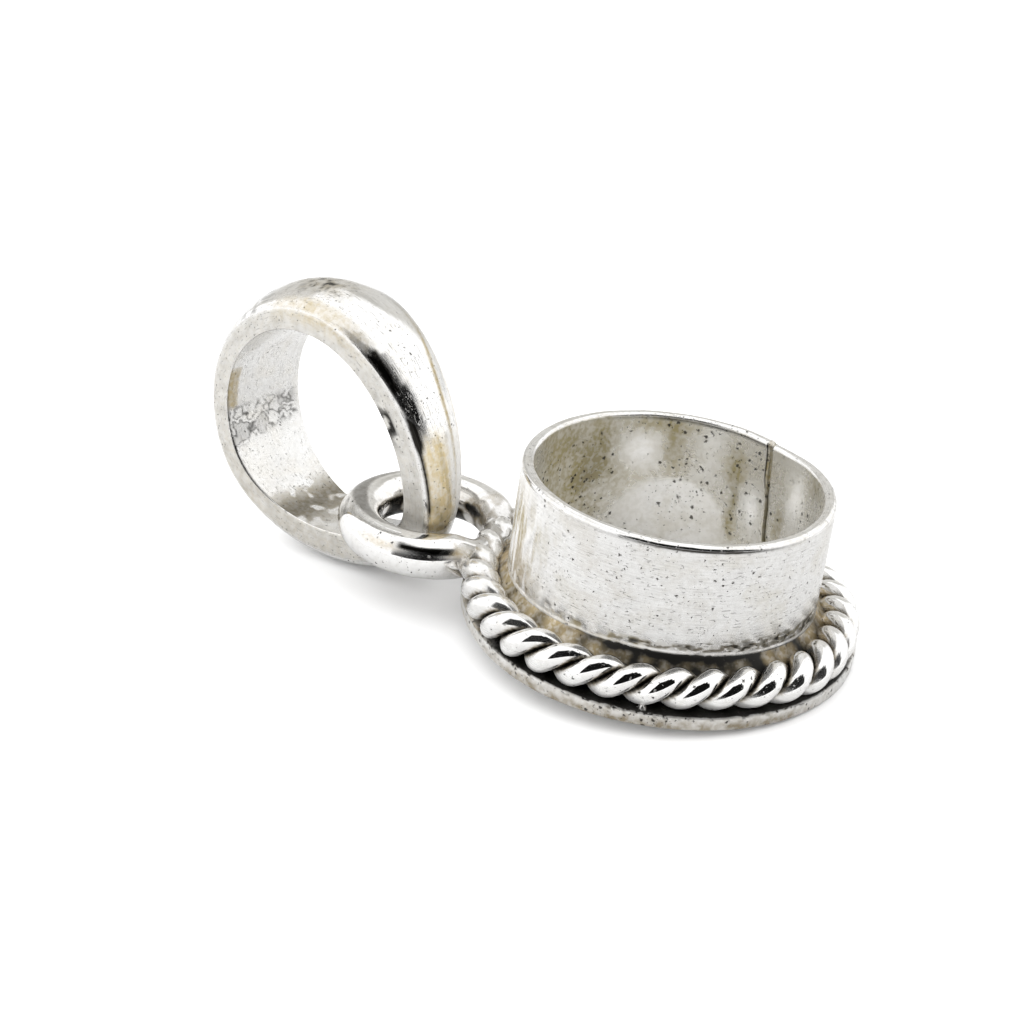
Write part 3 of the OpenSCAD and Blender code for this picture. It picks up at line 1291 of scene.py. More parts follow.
    @staticmethod
    def around(a: np.ndarray, at: float, width: float) -> np.ndarray:
        """Bell curve round the rope, in degrees, for headings in radians."""
        return about(np.degrees(a), at, width)

    def worked(self, points: np.ndarray) -> np.ndarray:
        """Makes the wires a little uneven, and bulges the rope where it overhangs the plate.

        Args:
            points: places on the even rope, one row each.

        Returns:
            The places on the worked rope.
        """
        a, out, up = self.measured(points)
        swell = self.around(a, -125.0, 28.0) + self.around(a, -26.0, 16.0) - 0.5 * self.around(a, -66.0, 18.0)
        size = 1.0 + waves(a, (0.02, 5.0, 1.1)) + 0.025 * grain(points, 0.9, 31.0) + 0.09 * swell
        r = self.circle_r + out * size + waves(a, (0.02, 2.0, 0.5)) + 0.10 * swell
        return polar(a, r, self.height + up * size)

    def coat(self, points: np.ndarray) -> Coat:
        """Bright on the lobes, dark in the grooves, black underneath and by the wall at the front as painted
        shade, melted where the ring joins.

        Args:
            points: places on the even rope, one row each.

        Returns:
            The shares of each point.
        """
        a, out, up = self.measured(points)
        depth = np.hypot(out, up)
        by_wall = smooth(-0.35, -0.6, out) * smooth(0.35, 0.05, up)
        blotches = smooth(-0.1, 0.35, grain(points, 0.5, 33.0) + 0.4 * grain(points, 0.2, 34.0))
        melted = self.around(a, -168.0, 17.0) * blotches
        satin = smooth(0.15, -0.25, up) * smooth(0.0, 0.3, out)
        worn = 0.6 * self.around(a, -158.0, 34.0) + 0.3 * self.around(a, 0.0, 30.0)
        coat = Coat(a.shape)
        coat.cover(smooth(0.53, 0.42, depth), dull=0.6, tan=0.95)
        coat.cover(smooth(0.48, 0.38, depth), black=0.9)
        # Painted shade: black underneath, in the gap over the plate.
        coat.cover(smooth(-0.60, -0.70, up), dull=0.6, black=0.9)
        # Tan tarnish in the crevice by the wall, with black as painted shade, most at the front.
        coat.cover(by_wall, tan=0.9, black=0.2 + 0.5 * bell(np.degrees(a) + 80.0, 40.0))
        coat.cover(melted, dull=1.0, tan=0.35, black=0.22)
        coat.cover(satin, dull=0.9)
        coat.cover(worn, dull=1.0)
        for mask, white in ((satin, 0.5), (melted, 0.3), (worn, 0.2)):
            coat.add(mask, white=white)
        return coat


@dataclass(frozen=True)
class SolderBed:
    """The tarnished solder that fills the channel between the rope and the wall.

    Args:
        wall_r: radius of the wall's foot.
        rope_circle_r: radius of the rope's middle circle.
        plate_t: thickness of the plate.
        low: height of the bed beside the rope.
        buried: how far it runs in under the wall.
        sunk: how far it runs down into the plate.
        hollow: how steeply the bed rises to the wall, as a power.
        middle_r: radius of the channel's middle.
        segments: steps once round.
        soot_and_painted_shade: painted shade as black places at the front, as heading, width and strength.
    """

    wall_r: float = 5.63
    rope_circle_r: float = 6.55
    plate_t: float = 0.52
    low: float = 1.08
    buried: float = 0.12
    sunk: float = 0.08
    hollow: float = 2.1
    middle_r: float = 6.0
    segments: int = 540
    soot_and_painted_shade: tuple[tuple[float, float, float], ...] = (
        (-76.0, 30.0, 0.52),
        (-38.0, 26.0, 0.42),
        (-17.0, 6.0, 0.5),
    )

    def build(self, lay: Lay) -> bpy.types.Object:
        """Makes the bed as a closed ring with an uneven, slightly hollow top.

        Args:
            lay: how the setting leans.

        Returns:
            The linked object.
        """
        width = self.rope_circle_r - self.wall_r
        share = np.concatenate([[-self.buried], np.linspace(0.0, 1.0, 22)])
        bottom = [self.rope_circle_r, self.wall_r - self.buried]
        loop = np.concatenate([self.wall_r + width * share, bottom])
        a, r = np.meshgrid(full_turn(self.segments), loop, indexing="ij")
        fall = np.broadcast_to(np.concatenate([share, [2.0, 2.0]]), a.shape)
        spots = polar(a, self.middle_r, r)
        lumps = grain(spots, 0.8, 41.0) + 0.5 * grain(spots, 0.33, 42.0)
        climb = (foot_line(np.degrees(a)) - self.low) * np.clip(1.0 - fall, 0.0, 1.0) ** self.hollow
        z = self.low + climb + 0.06 * lumps * smooth(0.0, 0.2, fall)
        z = np.where(fall > 1.5, self.plate_t - self.sunk, z)
        along, once = (a * self.middle_r, r), (TURN * self.middle_r, 0.0)
        return make_piece("solder_bed", lay.place(polar(a, r, z)), self.coat(a, r, z, lumps), along, once)

    def coat(self, a: np.ndarray, r: np.ndarray, z: np.ndarray, lumps: np.ndarray) -> Coat:
        """Tan all over, streaked lengthwise, black as painted shade at the front and under the rope's edge,
        and black in a crack.

        Args:
            a: angle round the axis.
            r: distance from the axis.
            z: height above the plate's back.
            lumps: noise of its top.

        Returns:
            The shares of each point.
        """
        heading = np.degrees(a)
        # Painted shade: black at the front and along the wall's foot there.
        at_wall = 0.9 * bell(r - self.wall_r - 0.02, 0.06) * about(heading, -70.0, 22.0)
        front = sum(strength * about(heading, at, wide) for at, wide, strength in self.soot_and_painted_shade) + at_wall
        crack = about(heading, -160.0, 22.0) * bell(r - 5.95 - 0.1 * lumps, 0.06)
        coat = Coat(a.shape)
        coat.add(1.0, dull=0.5, tan=1.0, black=0.18, white=0.6)
        coat.add(lumps, tan=0.3, black=0.30)
        coat.add(grain(polar(a, 2.2, r + z), 0.16, 43.0), black=0.5)
        # Painted shade: darker under the rope's edge.
        coat.add(smooth(5.85, 6.15, r), black=0.35)
        coat.add(crack, black=0.7)
        coat.add(front, black=1.0)
        coat.add(np.clip(front, 0.0, 1.0), white=-0.15)
        return coat


@dataclass(frozen=True)
class JumpRing:
    """The thick round ring, filed down where it meets the rope.

    Places on it are degrees round the ring, from the rope, and degrees round the wire, from its outside
    over its top.

    Args:
        reach: distance from the cup's axis to the ring's middle.
        height: height of its middle.
        radius: radius of the wire's middle circle.
        wire_r: radius of the wire.
        filed: share of the wire's radius that is filed off at the rope.
        sunk: how far the filed end lies lower.
        segments: steps round the ring.
        sides: steps round the wire.
        ruddy: red-brown stain on the far inside, only on the half before the rope.
        golden: golden place at the near outside.
        green: greenish place by the rope.
        crescent: dark crescent along the ring's inner top.
    """

    reach: float = 9.2
    height: float = 1.28
    radius: float = 2.67
    wire_r: float = 0.84
    filed: float = 0.26
    sunk: float = 0.22
    segments: int = 300
    sides: int = 64
    ruddy: Mark = Mark(44.0, 154.0, 22.0, 18.0)
    golden: Mark = Mark(259.0, 35.0, 17.0, 11.0)
    green: Mark = Mark(309.0, 34.0, 8.0, 12.0)
    crescent: tuple[StreakRow, ...] = (
        StreakRow(120.0, 76.0, 8.0, 0.0),
        StreakRow(146.0, 75.0, 10.0, 0.8),
        StreakRow(165.0, 70.0, 16.0, 1.0),
        StreakRow(180.0, 74.0, 20.0, 1.0),
        StreakRow(201.0, 88.0, 20.0, 1.0),
        StreakRow(222.0, 96.0, 15.0, 1.0),
        StreakRow(239.0, 100.0, 12.0, 0.9),
        StreakRow(255.0, 106.0, 9.0, 0.8),
        StreakRow(300.0, 116.0, 5.0, 0.6),
        StreakRow(348.0, 122.0, 4.0, 0.5),
        StreakRow(358.0, 123.0, 3.0, 0.0),
    )

    def build(self, lay: Lay) -> bpy.types.Object:
        """Makes the ring with its filed end and the marks of the pliers.

        Args:
            lay: how the setting leans.

        Returns:
            The linked object.
        """
        round_ring = np.linspace(-math.pi, math.pi, self.segments, endpoint=False)
        u, w = np.meshgrid(round_ring, full_turn(self.sides), indexing="ij")
        joint = smooth(50.0, 20.0, np.abs(np.degrees(u)))
        wire = self.wire_r * (1.0 - self.filed * joint)
        wire = wire * (1.0 + waves(u, (0.008, 4.0, 1.0)) + 0.006 * np.sin(2.0 * w + 3.0 * u))
        spots = polar(u, self.radius + wire * np.cos(w), self.height - self.sunk * joint + wire * np.sin(w))
        spots = spots + 0.01 * grain(spots, 0.8, 51.0)[..., None]
        points = lay.place(spots - np.array([self.reach, 0.0, 0.0]))
        along = (u * self.radius, w * self.wire_r)
        once = (TURN * self.radius, TURN * self.wire_r)
        return make_piece("jump_ring", points, self.coat(u, w, joint, spots), along, once)

    def streak(self, turned: np.ndarray, risen: np.ndarray) -> np.ndarray:
        """The dark crescent's share at each point.

        Args:
            turned: degrees round the ring.
            risen: degrees round the wire.

        Returns:
            The share at each point.
        """
        at, middle, half, strength = np.array([astuple(row) for row in self.crescent]).T
        away = np.abs(risen - np.interp(turned, at, middle)) / np.interp(turned, at, half)
        return np.interp(turned, at, strength) * smooth(1.25, 0.75, away)

    def coat(self, u: np.ndarray, w: np.ndarray, joint: np.ndarray, spots: np.ndarray) -> Coat:
        """Mirror-bright, blotched by solder at the rope, with a dark crescent, a few coloured places, tarnish
        inside darkened as painted shade, and a painted dark reflection across its near outside.

        Args:
            u: angle round the ring.
            w: angle round the wire.
            joint: how near the rope, as a share.
            spots: places, in millimetres from the ring's middle.

        Returns:
            The shares of each point.
        """
        turned, risen = np.degrees(u) % 360.0, np.degrees(w)
        near = smooth(66.0, 40.0, np.abs(np.degrees(u)))
        blobs = near * smooth(-0.15, 0.3, grain(spots, 0.45, 52.0) + 0.4 * grain(spots, 0.2, 53.0))
        # Tarnish inside the ring, darkened as painted shade.
        hollow = band(risen, 150.0, 165.0, 290.0, 330.0) * band(turned, 20.0, 60.0, 205.0, 230.0)
        golden, green = self.golden.on(turned, risen), self.green.on(turned, risen)
        # Painted dark reflection: a black streak across the ring's near outside, with its white wiped away.
        along = turned - 290.0
        streak = smooth(22.0, 14.0, np.abs(along)) * smooth(9.2, 6.2, np.abs(risen - 41.0 + 0.15 * along))
        coat = Coat(u.shape)
        coat.add(1.0, dull=0.1)
        coat.add(smooth(-0.2, -0.8, np.cos(w)), tan=0.2)
        coat.add(smooth(-0.3, -0.9, np.sin(w)), dull=0.3)
        coat.add(near * joint, black=0.2)
        coat.add(blobs, dull=0.6, tan=0.45, black=0.1, white=0.35)
        coat.add(self.streak(turned, risen), dull=0.4, tan=0.25, black=0.5)
        coat.add(hollow * smooth(-0.4, 0.1, grain(spots, 0.6, 54.0)), tan=0.85, black=0.9)
        coat.add(self.ruddy.on(turned, risen) * (turned < 180.0), tan=1.0, black=0.65, white=0.85)
        coat.add(golden, dull=0.5, tan=0.75)
        coat.add(green, tan=0.9, black=0.15)
        coat.add(np.maximum(golden, green), white=0.95)
        coat.add(streak * (1.0 - green), black=1.0)
        coat.wipe(streak, white=1.0)
        return coat


@dataclass(frozen=True)
class BailLoop:
    """The loose bail: a band that is broad and domed at the top and narrow where it passes the ring.

    Pairs give a size at the broadest and at the narrowest place.

    Args:
        place: the loop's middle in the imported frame.
        eye_r: mean radius of the opening.
        stretch: how far the opening is drawn out into an oval.
        taper: how far it is drawn out into an egg.
        shoulder: how far its four quarters stand out.
        width: width of the band.
        edge: height of its flat edges.
        crown: height of the dome above them.
        dome_power: how flat the dome's top is.
        growth_power: how long the band stays broad.
        heading: direction through the opening, in degrees.
        rise: its elevation.
        broad_turn: degrees from level to the broadest place.
        inner_bend: rounding of the inner corners.
        outer_bend: rounding of the outer corners.
        uv_r: radius at which lengths along the band are measured.
        segments: steps once round.
    """

    place: tuple[float, float, float] = (-7.48971, 0.9, 5.3978)
    eye_r: float = 4.18
    stretch: float = 0.23
    taper: float = 0.175
    shoulder: float = 0.056
    width: Pair = (3.94, 1.6)
    edge: Pair = (0.89, 1.29)
    crown: Pair = (0.64, 0.21)
    dome_power: float = 1.74
    growth_power: float = 2.28
    heading: float = 72.0
    rise: float = -0.4
    broad_turn: float = 145.6
    inner_bend: float = 0.10
    outer_bend: float = 0.30
    uv_r: float = 4.2
    segments: int = 540

    def axes(self) -> tuple[np.ndarray, np.ndarray, np.ndarray]:
        """Unit vectors across the loop, up the loop and through its opening.

        Returns:
            The three vectors.
        """
        h, e = math.radians(self.heading), math.radians(self.rise)
        across = np.array([math.sin(h), -math.cos(h), 0.0])
        through = np.array([math.cos(e) * math.cos(h), math.cos(e) * math.sin(h), math.sin(e)])
        return across, np.cross(across, through), through

    @staticmethod
    def rounded(start: Pair, corner: Pair, end: Pair) -> list[Pair]:
        """A corner rounded off by a short curve from start to end.

        Args:
            start: where the curve starts.
            corner: the sharp corner.
            end: where it ends.

        Returns:
            Points of the curve.
        """
        steps = np.linspace(0.0, 1.0, 9)
        first, middle, last = np.array(start), np.array(corner), np.array(end)
        return [tuple((1 - t) ** 2 * first + 2 * t * (1 - t) * middle + t * t * last) for t in steps]

    def section(self, half: float, edge: float, crown: float) -> np.ndarray:
        """Side and height of the band's outline: flat inside, flat edges and a domed outside.

        Args:
            half: half of the band's width.
            edge: height of its flat edges.
            crown: height of the dome above them.

        Returns:
            A closed loop of points, always the same number.
        """
        low, high = self.inner_bend, self.outer_bend
        top = half - high
        inside = [(x, 0.0) for x in np.linspace(-half + low, half - low, 54)[1:-1]]
        foot = self.rounded((half - low, 0.0), (half, 0.0), (half, low))
        rise = [(half, y) for y in np.linspace(low, edge - high, 8)[1:-1]]
        start_of_dome = (top, edge + crown * self.dome(top / half))
        shoulder = self.rounded((half, edge - high), (half, edge), start_of_dome)
        over = [(x, edge + crown * self.dome(x / half)) for x in np.linspace(top, -top, 34)[1:-1]]
        right = foot + rise + shoulder
        left = [(-x, y) for x, y in reversed(right)]
        return np.array(inside + right + over + left)

    def dome(self, side: float) -> float:
        """Share of the dome's height at a share of the half width."""
        return 1.0 - abs(side) ** self.dome_power

    def middle(self, a: float, outward: np.ndarray, along: np.ndarray) -> np.ndarray:
        """Middle of the band's inner face at an angle from the broadest place.

        Args:
            a: the angle.
            outward: unit vector outwards there.
            along: unit vector along the band there.

        Returns:
            The place, in millimetres from the loop's middle.
        """
        reach = self.eye_r + self.stretch * math.cos(2 * a) - self.taper * math.cos(3 * a)
        reach += self.shoulder * math.cos(4 * a)
        slide = -2 * self.stretch * math.sin(2 * a) + 3 * self.taper * math.sin(3 * a)
        slide -= 4 * self.shoulder * math.sin(4 * a)
        return outward * reach + along * slide

    def build(self) -> bpy.types.Object:
        """Makes the band as one closed loop, hammered at the near side of its top.

        Returns:
            The linked object.
        """
        across, upward, through = self.axes()
        rows, sides, heights, turns, inner = [], [], [], [], []
        for k in range(self.segments):
            a = TURN * k / self.segments
            turned = a + math.radians(self.broad_turn)
            growth = 1.0 - ((1.0 - math.cos(a)) / 2.0) ** self.growth_power
            sizes = (self.width, self.edge, self.crown)
            width, edge, crown = (narrow + (broad - narrow) * growth for broad, narrow in sizes)
            outward = across * math.cos(turned) + upward * math.sin(turned)
            along = upward * math.cos(turned) - across * math.sin(turned)
            loop = self.section(width / 2.0, edge, crown)
            rows.append(self.middle(a, outward, along) + loop[:, :1] * through + loop[:, 1:] * outward)
            sides.append(loop[:, 0] * 2.0 / width)
            heights.append(loop[:, 1] - edge)
            turns.append(np.full(len(loop), math.degrees(a)))
            inner.append(loop[:, 1] < 0.01)
        spots, side, height, turn = (np.array(values) for values in (rows, sides, heights, turns))
        hammered = band(turn, 318.0, 330.0, 345.0, 352.0) * smooth(0.3, 0.8, -side)
        dents = smooth(0.0, 0.5, grain(spots, 0.5, 62.0)) * hammered * smooth(-0.7, -0.3, height)
        soft = 0.010 * grain(spots, 1.1, 61.0) - 0.07 * dents
        points = spots + soft[..., None] * np.array([0.3, -0.6, 0.7]) + np.array(self.place)
        coat = BailCoat(spots, side, height, turn, np.array(inner), dents)
        strip, once = (np.radians(turn) * self.uv_r, side * 2.0 + height), (TURN * self.uv_r, 0.0)
        return make_piece("bail_loop", points, coat, strip, once)


class BailCoat(Coat):
    """The bail's coat: polished dome with golden, brown and black places, satin inside and flat edges, and
    painted shade and a painted dark reflection by the leg.
    """

    def __init__(
        self,
        spots: np.ndarray,
        side: np.ndarray,
        height: np.ndarray,
        turn: np.ndarray,
        inner: np.ndarray,
        dents: np.ndarray,
    ) -> None:
        """Lays on every mark.

        Args:
            spots: places, in millimetres from the loop's middle.
            side: share of the half width, -1 at the near side.
            height: height above the flat edges' top.
            turn: degrees round from the broadest place.
            inner: which points are on the inner face.
            dents: depth share of the hammer marks.
        """
        super().__init__(side.shape)
        self.spots, self.side, self.height, self.turn = spots, side, height, turn
        self.clouds, self.fine = grain(spots, 1.1, 71.0), grain(spots, 0.35, 72.0)
        self.streaks = grain(np.stack([side, turn * 0.01, np.zeros_like(side)], -1), 0.14, 75.0)
        self.over = smooth(-0.12, 0.02, height)
        self.inside = inner.astype(float)
        self.near = smooth(-0.97, -1.0, side)
        self.add(dents, dull=0.2)
        self.crown()
        self.golden_start()
        self.far_lines()
        self.inner_face()
        self.flat_edges()
        self.leg()

    def round_at(self, at: float, wide: float) -> np.ndarray:
        """Bell curve round the loop."""
        return about(self.turn, at, wide)

    def crown(self) -> None:
        """Brown burst, grey far side and hatched scratches on the top of the dome."""
        side, fine = self.side, self.fine
        brown = self.over * bell(side + 0.15, 0.4) * self.round_at(307.0, 14.0)
        self.add(brown, dull=0.3, tan=0.45 + 0.4 * fine, black=0.22 * (1.0 + 1.5 * fine))
        self.add(brown * smooth(0.05, 0.4, grain(self.spots, 0.16, 76.0) + 0.3 * fine), black=0.6)
        self.add(self.over * smooth(0.45, 0.7, side) * self.round_at(284.0, 12.0), black=0.26)
        hatch = self.over * self.round_at(336.0, 9.0) * smooth(0.1, -0.4, side)
        self.add(hatch * smooth(0.05, 0.35, self.streaks + 0.6 * fine), black=0.5)

    def golden_start(self) -> None:
        """Golden band along the near corner of the dome, darker at its lower end, and its warm flat edge."""
        start = self.round_at(292.0, 30.0) * band(self.turn, 254.0, 264.0, 318.0, 330.0)
        flat = start * self.near * smooth(-0.75, -0.2, self.height)
        self.add(flat, tan=0.5 + 0.3 * self.fine)
        start = start * self.over * smooth(-0.60, -0.82, self.side)
        start = start * (0.85 + 0.35 * self.fine + 0.3 * self.streaks)
        self.add(start, tan=0.75, black=0.29 + 0.45 * smooth(282.0, 266.0, self.turn), white=0.85)

    def far_lines(self) -> None:
        """Two long tan lines down the far side of the dome."""
        slant = 0.32 + 0.35 * smooth(240.0, 268.0, self.turn)
        line = self.over * bell(self.side - slant, 0.075) * self.round_at(246.0, 24.0)
        self.add(line, tan=1.32, black=0.42)
        self.add(self.over * bell(self.side - 0.80, 0.07) * self.round_at(236.0, 20.0), tan=0.4)

    def inner_face(self) -> None:
        """Satin inside, with a dark patch low down, an olive place, scars and a dark near edge."""
        side, turn, inside = self.side, self.turn, self.inside
        self.add(inside, dull=0.6 + 0.4 * self.clouds, white=0.3)
        patch = inside * self.round_at(108.0, 11.0) * smooth(0.0, 0.3, self.clouds + 0.9 * self.fine + 0.4)
        self.add(patch, tan=0.7, black=0.65)
        olive = inside * smooth(-0.66, -0.78, side) * band(turn, 8.0, 14.0, 33.0, 37.0)
        self.add(olive, tan=0.9, black=0.3, white=0.3)
        ridge = grain(self.spots, 0.62, 73.0) + 0.4 * grain(self.spots, 0.26, 74.0)
        outlines = bell(ridge - 0.12, 0.06) + bell(ridge + 0.22, 0.06) + 0.3 * smooth(0.12, 0.2, ridge)
        scarred = smooth(33.0, 37.0, turn) * smooth(57.0, 51.0, turn + 5.0 * side) * smooth(0.95, 0.8, side)
        self.add(inside * scarred * outlines, black=0.75)
        self.add(inside * smooth(-0.93, -0.97, side) * self.round_at(60.0, 30.0), black=1.0)

    def flat_edges(self) -> None:
        """Dull flat edges, the near one a little dirty, most so low down, with painted shade in a thin strip
        by the ring.
        """
        below = 1.0 - self.over
        near_edge = self.near * below
        self.add(below * smooth(0.97, 1.0, np.abs(self.side)), dull=1.0, white=0.25)
        self.add(near_edge, tan=0.16, black=0.12 * (1.0 + self.fine))
        self.add(near_edge * self.round_at(95.0, 40.0) * (0.5 + 0.5 * self.clouds), tan=0.25, black=0.12)
        # Painted shade: a black strip low on the near edge by the ring.
        painted_shade_sliver = self.near * smooth(-0.55, -0.75, self.height) * self.round_at(240.0, 6.0)
        self.add(painted_shade_sliver * smooth(0.0, 0.3, self.fine + 0.3), black=1.0)

    def leg(self) -> None:
        """Golden leg with a brown foot, painted shade along the crease at its near corner and a painted dark
        reflection as the streak above it.
        """
        side, turn, over = self.side, self.turn, self.over
        leg = over * band(turn, 196.0, 206.0, 228.0, 238.0)
        self.add(leg, dull=0.5, white=0.95)
        gold = leg * smooth(0.2, -0.25, side) * (0.9 + 0.6 * self.streaks) * smooth(-0.95, -0.85, side)
        self.add(gold, tan=1.2, black=0.15 * smooth(0.1, 0.3, self.streaks))
        foot = over * band(turn, 185.0, 200.0, 209.0, 217.0) * smooth(0.6, 0.0, side)
        self.add(foot, tan=0.8, black=0.15 + 0.3 * self.fine, white=-0.285)
        # Painted shade along the crease and a painted dark reflection as the streak: black, with the white
        # wiped away.
        crease = over * bell(side + 0.90, 0.055) * band(turn, 203.0, 210.0, 232.0, 240.0)
        streak = over * smooth(-0.70, -0.82, side) * band(turn, 228.0, 233.0, 261.0, 266.0)
        streak = streak * (1.0 - 0.6 * smooth(0.12, 0.3, self.streaks))
        self.add(crease + streak, black=1.0)
        self.wipe(np.clip(crease + streak, 0.0, 1.0), white=1.0)


def grey(level: float) -> tuple[float, float, float, float]:
    """A grey as an opaque colour."""
    return (level, level, level, 1.0)


@dataclass(frozen=True)
class SkyPatch:
    """One part of the surrounding light.

    Args:
        heading: its middle, in degrees round from +X.
        reach: degrees from its middle to its sides.
        low: elevation of its lower side, in degrees.
        high: elevation of its upper side, in degrees.
        shade: its colour.
        soft: degrees over which it fades out.
    """

    heading: float
    reach: float
    low: float
    high: float
    shade: Colour
    soft: float = 5.0


@dataclass(frozen=True)
class Studio:
    """White surface, soft surrounding light with a dark opening at the camera's side, and the camera.

    Args:
        place: the camera's place.
        turn: its rotation, in radians.
        lens: its focal length for a sensor of 36 mm.
        surface_half: half the surface's side, in metres.
        surface_drop: how far the surface lies below the piece, in metres.
        surface_lit: its shade as it lights the metal.
        surface_seen: its shade as the camera sees it.
        lit_from: heading that the brighter diffuse light comes from, in degrees.
        lit: diffuse light from the other side and from there.
        sky: light that the metal mirrors.
        backdrop: light that the camera sees.
        patches: greyer parts behind, and the dark opening.
    """

    place: tuple[float, float, float] = (18.27162, -50.46342, 29.23919)
    turn: tuple[float, float, float] = (1.12534305, -0.03556256, 0.36390967)
    lens: float = 56.25
    surface_half: float = 1.5
    surface_drop: float = 0.00001
    surface_lit: float = 0.65
    surface_seen: float = 0.95
    lit_from: float = 176.0
    lit: Pair = (1.25, 2.4)
    sky: float = 1.3
    backdrop: float = 1.05
    patches: tuple[SkyPatch, ...] = (
        SkyPatch(112.0, 34.0, -20.0, 42.0, (0.74, 0.73, 0.70)),
        SkyPatch(98.0, 13.0, 36.0, 50.0, (0.62, 0.61, 0.58)),
        SkyPatch(72.0, 10.0, -20.0, 8.0, (0.85, 0.85, 0.84)),
        SkyPatch(-71.0, 37.0, 9.0, 66.0, DARK_OPENING, 1.5),
        SkyPatch(-60.0, 50.0, 5.0, 38.0, DARK_OPENING, 1.5),
        SkyPatch(-36.0, 20.0, 30.0, 58.0, DARK_OPENING, 1.5),
    )

    def camera(self) -> bpy.types.Object:
        """Puts the camera where the photograph was taken from.

        Returns:
            The scene's camera.
        """
        data = bpy.data.cameras.new("camera")
        data.lens = self.lens
        data.sensor_width = 36.0
        data.sensor_fit = "HORIZONTAL"
        data.clip_start = 0.001
        data.clip_end = 20.0
        obj = bpy.data.objects.new("camera", data)
        obj.location = Vector(self.place) * MM
        obj.rotation_euler = self.turn
        bpy.context.scene.collection.objects.link(obj)
        bpy.context.scene.camera = obj
        return obj

    def surface(self) -> bpy.types.Object:
        """The white surface that the piece lies on.

        Returns:
            The linked surface.
        """
        h = self.surface_half
        mesh = bpy.data.meshes.new("surface")
        mesh.from_pydata([(-h, -h, 0.0), (h, -h, 0.0), (h, h, 0.0), (-h, h, 0.0)], [], [(0, 1, 2, 3)])
        obj = bpy.data.objects.new("surface", mesh)
        obj.location.z = -self.surface_drop
        bpy.context.scene.collection.objects.link(obj)
        made, tree = new_material("white_card")
        seen = tree.add("ShaderNodeLightPath").outputs["Is Camera Ray"]
        shade = tree.mix(seen, grey(self.surface_lit), grey(self.surface_seen))
        shader = tree.add("ShaderNodeBsdfDiffuse", {"Color": shade})
        tree.add("ShaderNodeOutputMaterial", {"Surface": shader.outputs[0]})
        mesh.materials.append(made)
        return obj

    @staticmethod
    def facing(tree: Tree, way: list[Socket], heading: float) -> Socket:
        """How far a direction points to a heading in degrees."""
        a = math.radians(heading)
        return tree.math("MULTIPLY_ADD", way[0], math.cos(a), tree.math("MULTIPLY", way[1], math.sin(a)))

    def within(self, tree: Tree, way: list[Socket], level: Socket, patch: SkyPatch) -> Socket:
        """Mask of one patch.

        Args:
            tree: the world's tree.
            way: the three parts of the direction.
            level: length of its level part.
            patch: the patch.

        Returns:
            1 inside the patch, fading out at its sides.
        """
        low, high, soft = patch.low, patch.high, patch.soft
        facing = tree.math("DIVIDE", self.facing(tree, way, patch.heading), level)
        outer = math.cos(math.radians(patch.reach + soft))
        inner = math.cos(math.radians(patch.reach - soft))
        above = tree.step(way[2], math.sin(math.radians(low - soft)), math.sin(math.radians(low + soft)))
        below = tree.step(way[2], math.sin(math.radians(high + soft)), math.sin(math.radians(high - soft)))
        return tree.math("MULTIPLY", tree.step(facing, outer, inner), tree.math("MULTIPLY", above, below))

    def light(self) -> None:
        """Soft white light from all round, greyer behind, with a dark opening at the camera's side."""
        world = bpy.data.worlds.new("tent")
        bpy.context.scene.world = world
        world.use_nodes = True
        world.node_tree.nodes.clear()
        tree = Tree(world.node_tree)
        direction = tree.add("ShaderNodeTexCoord").outputs["Generated"]
        way = list(tree.add("ShaderNodeSeparateXYZ", {0: direction}).outputs)
        rest = tree.math("SUBTRACT", 1.0, tree.math("MULTIPLY", way[2], way[2]))
        level = tree.math("SQRT", tree.math("MAXIMUM", rest, 1e-6))
        sky: object = grey(self.sky)
        for patch in self.patches:
            sky = tree.mix(self.within(tree, way, level, patch), sky, (*patch.shade, 1.0))
        side = tree.step(self.facing(tree, way, self.lit_from), -0.7, 0.7)
        lit = tree.mix(side, grey(self.lit[0]), grey(self.lit[1]))
        path = tree.add("ShaderNodeLightPath").outputs
        sky = tree.mix(path["Is Diffuse Ray"], sky, lit)
        sky = tree.mix(path["Is Camera Ray"], sky, grey(self.backdrop))
        back = tree.add("ShaderNodeBackground", {"Color": sky, "Strength": 1.0})
        tree.add("ShaderNodeOutputWorld", {"Surface": back.outputs[0]})

    def colours(self) -> None:
        """Plain colours, with no film curve, so that white stays white."""
        view = bpy.context.scene.view_settings
        view.view_transform = "Standard"
        view.look = "None"
        view.exposure = 0.0
        view.gamma = 1.0


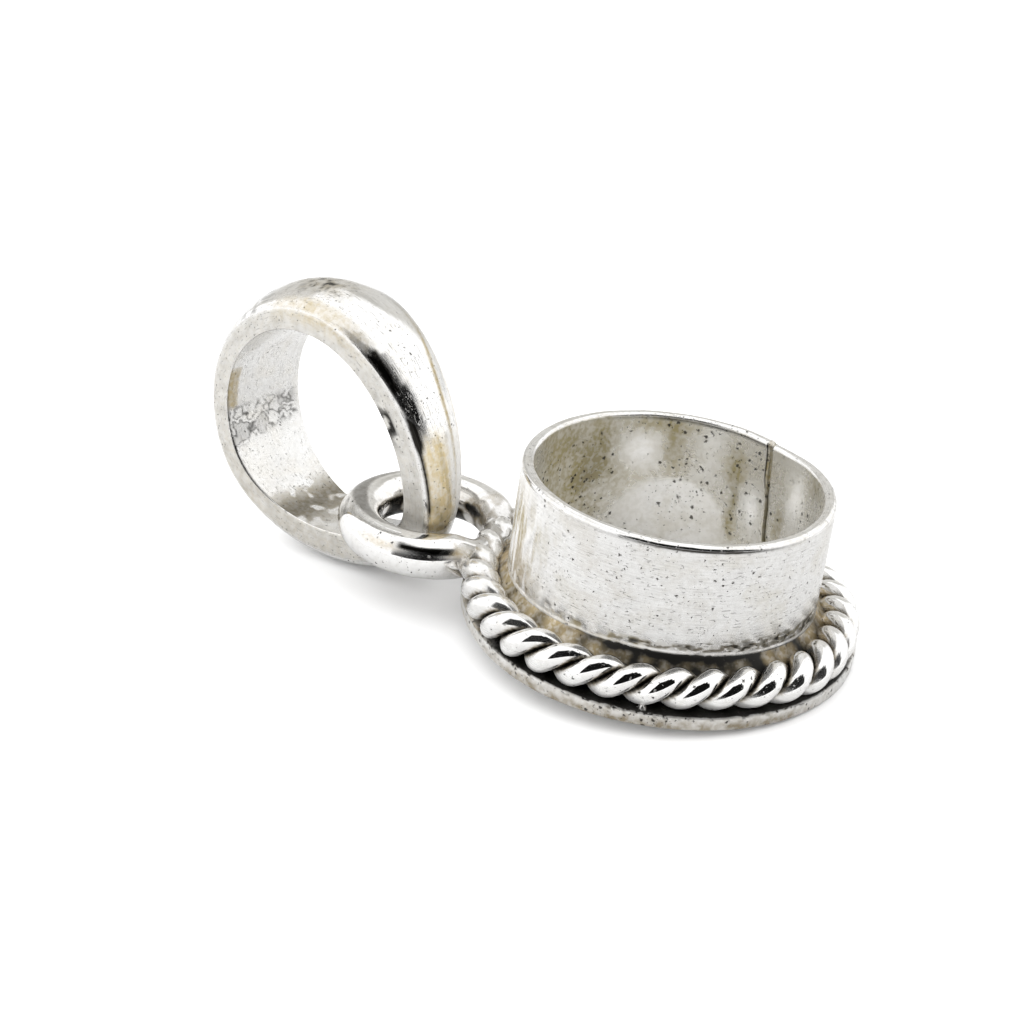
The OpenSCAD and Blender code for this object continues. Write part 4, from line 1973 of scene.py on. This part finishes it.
class Workshop:
    """Builds the pieces in order and puts each in its place in the model."""

    def __init__(self) -> None:
        """Makes the shared shader groups and a material of every finish."""
        effects = SurfaceEffects()
        self.silver = {finish.name: finish.material(effects) for finish in self.finishes()}

    @staticmethod
    def finishes() -> tuple[SilverFinish, ...]:
        """The finish of each surface.

        Returns:
            One finish for each material.
        """
        return (
            SilverFinish("plate_silver", shine=0.16, scratch=0.15, pit_share=2.0, pit_size=0.28),
            SilverFinish(
                "wall_silver",
                dull=(0.765, 0.76, 0.75),
                tan=(0.46, 0.395, 0.235),
                haze=0.24,
                scratch=0.8,
                dash=0.36,
                pit_share=1.25,
            ),
            SilverFinish(
                "cup_silver",
                dull=(0.79, 0.785, 0.765),
                tan=(0.455, 0.395, 0.225),
                deep=(0.395, 0.35, 0.225),
                haze=0.22,
                scratch=0.0,
                pit_share=1.15,
                pit_scale=3700.0,
                pit_size=0.32,
            ),
            SilverFinish("rope_silver", shine=0.05, pit_share=1.2, scratch=0.0, cloud=0.1, ripple=0.009),
            SilverFinish(
                "solder",
                tan=(0.46, 0.355, 0.19),
                deep=(0.38, 0.305, 0.17),
                shine=0.2,
                pit_share=0.8,
                scratch=0.0,
                cloud=0.3,
            ),
            SilverFinish("ring_silver", shine=0.02, pit_share=0.9, scratch=0.15, cloud=0.12),
            SilverFinish(
                "bail_silver",
                tan=(0.73, 0.60, 0.35),
                deep=(0.67, 0.55, 0.32),
                shine=0.05,
                scratch=0.45,
                cloud=0.12,
                dash=0.35,
                pit_share=2.4,
                pit_scale=4600.0,
                pit_size=0.19,
            ),
        )

    def seat(self, obj: bpy.types.Object, node: Node, slot: Slot, *finishes: str) -> None:
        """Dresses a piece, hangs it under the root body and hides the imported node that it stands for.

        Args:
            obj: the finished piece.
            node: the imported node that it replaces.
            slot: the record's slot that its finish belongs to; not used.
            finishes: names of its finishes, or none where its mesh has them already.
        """
        for name in finishes:
            obj.data.materials.append(self.silver[name])
        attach(obj, "root")
        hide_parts(node.value)
        obj.data.calc_loop_triangles()
        LOG.info("%s: %d triangles", obj.name, len(obj.data.loop_triangles))

    def build(self) -> None:
        """Builds every piece."""
        lay = Lay()
        setting = (Node.SETTING, Slot.SETTING)
        self.seat(BasePlate().build(lay), *setting, "plate_silver")
        self.seat(BezelWall().build(lay), *setting, "wall_silver", "cup_silver")
        self.seat(SolderBed().build(lay), *setting, "solder")
        self.seat(RopeBorder().build(lay, self.silver["rope_silver"]), *setting)
        self.seat(JumpRing().build(lay), *setting, "ring_silver")
        self.seat(BailLoop().build(), Node.BAIL, Slot.BAIL, "bail_silver")


def corners(box: tuple) -> list[list[float]]:
    """A box's two corners as plain lists."""
    return [[float(v) for v in corner] for corner in box]


def main() -> None:
    """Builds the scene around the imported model."""
    logging.basicConfig(level=logging.INFO, format="%(message)s")
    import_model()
    studio = Studio()
    studio.camera()
    studio.surface()
    studio.light()
    studio.colours()
    Workshop().build()


if __name__ == "__main__":
    main()
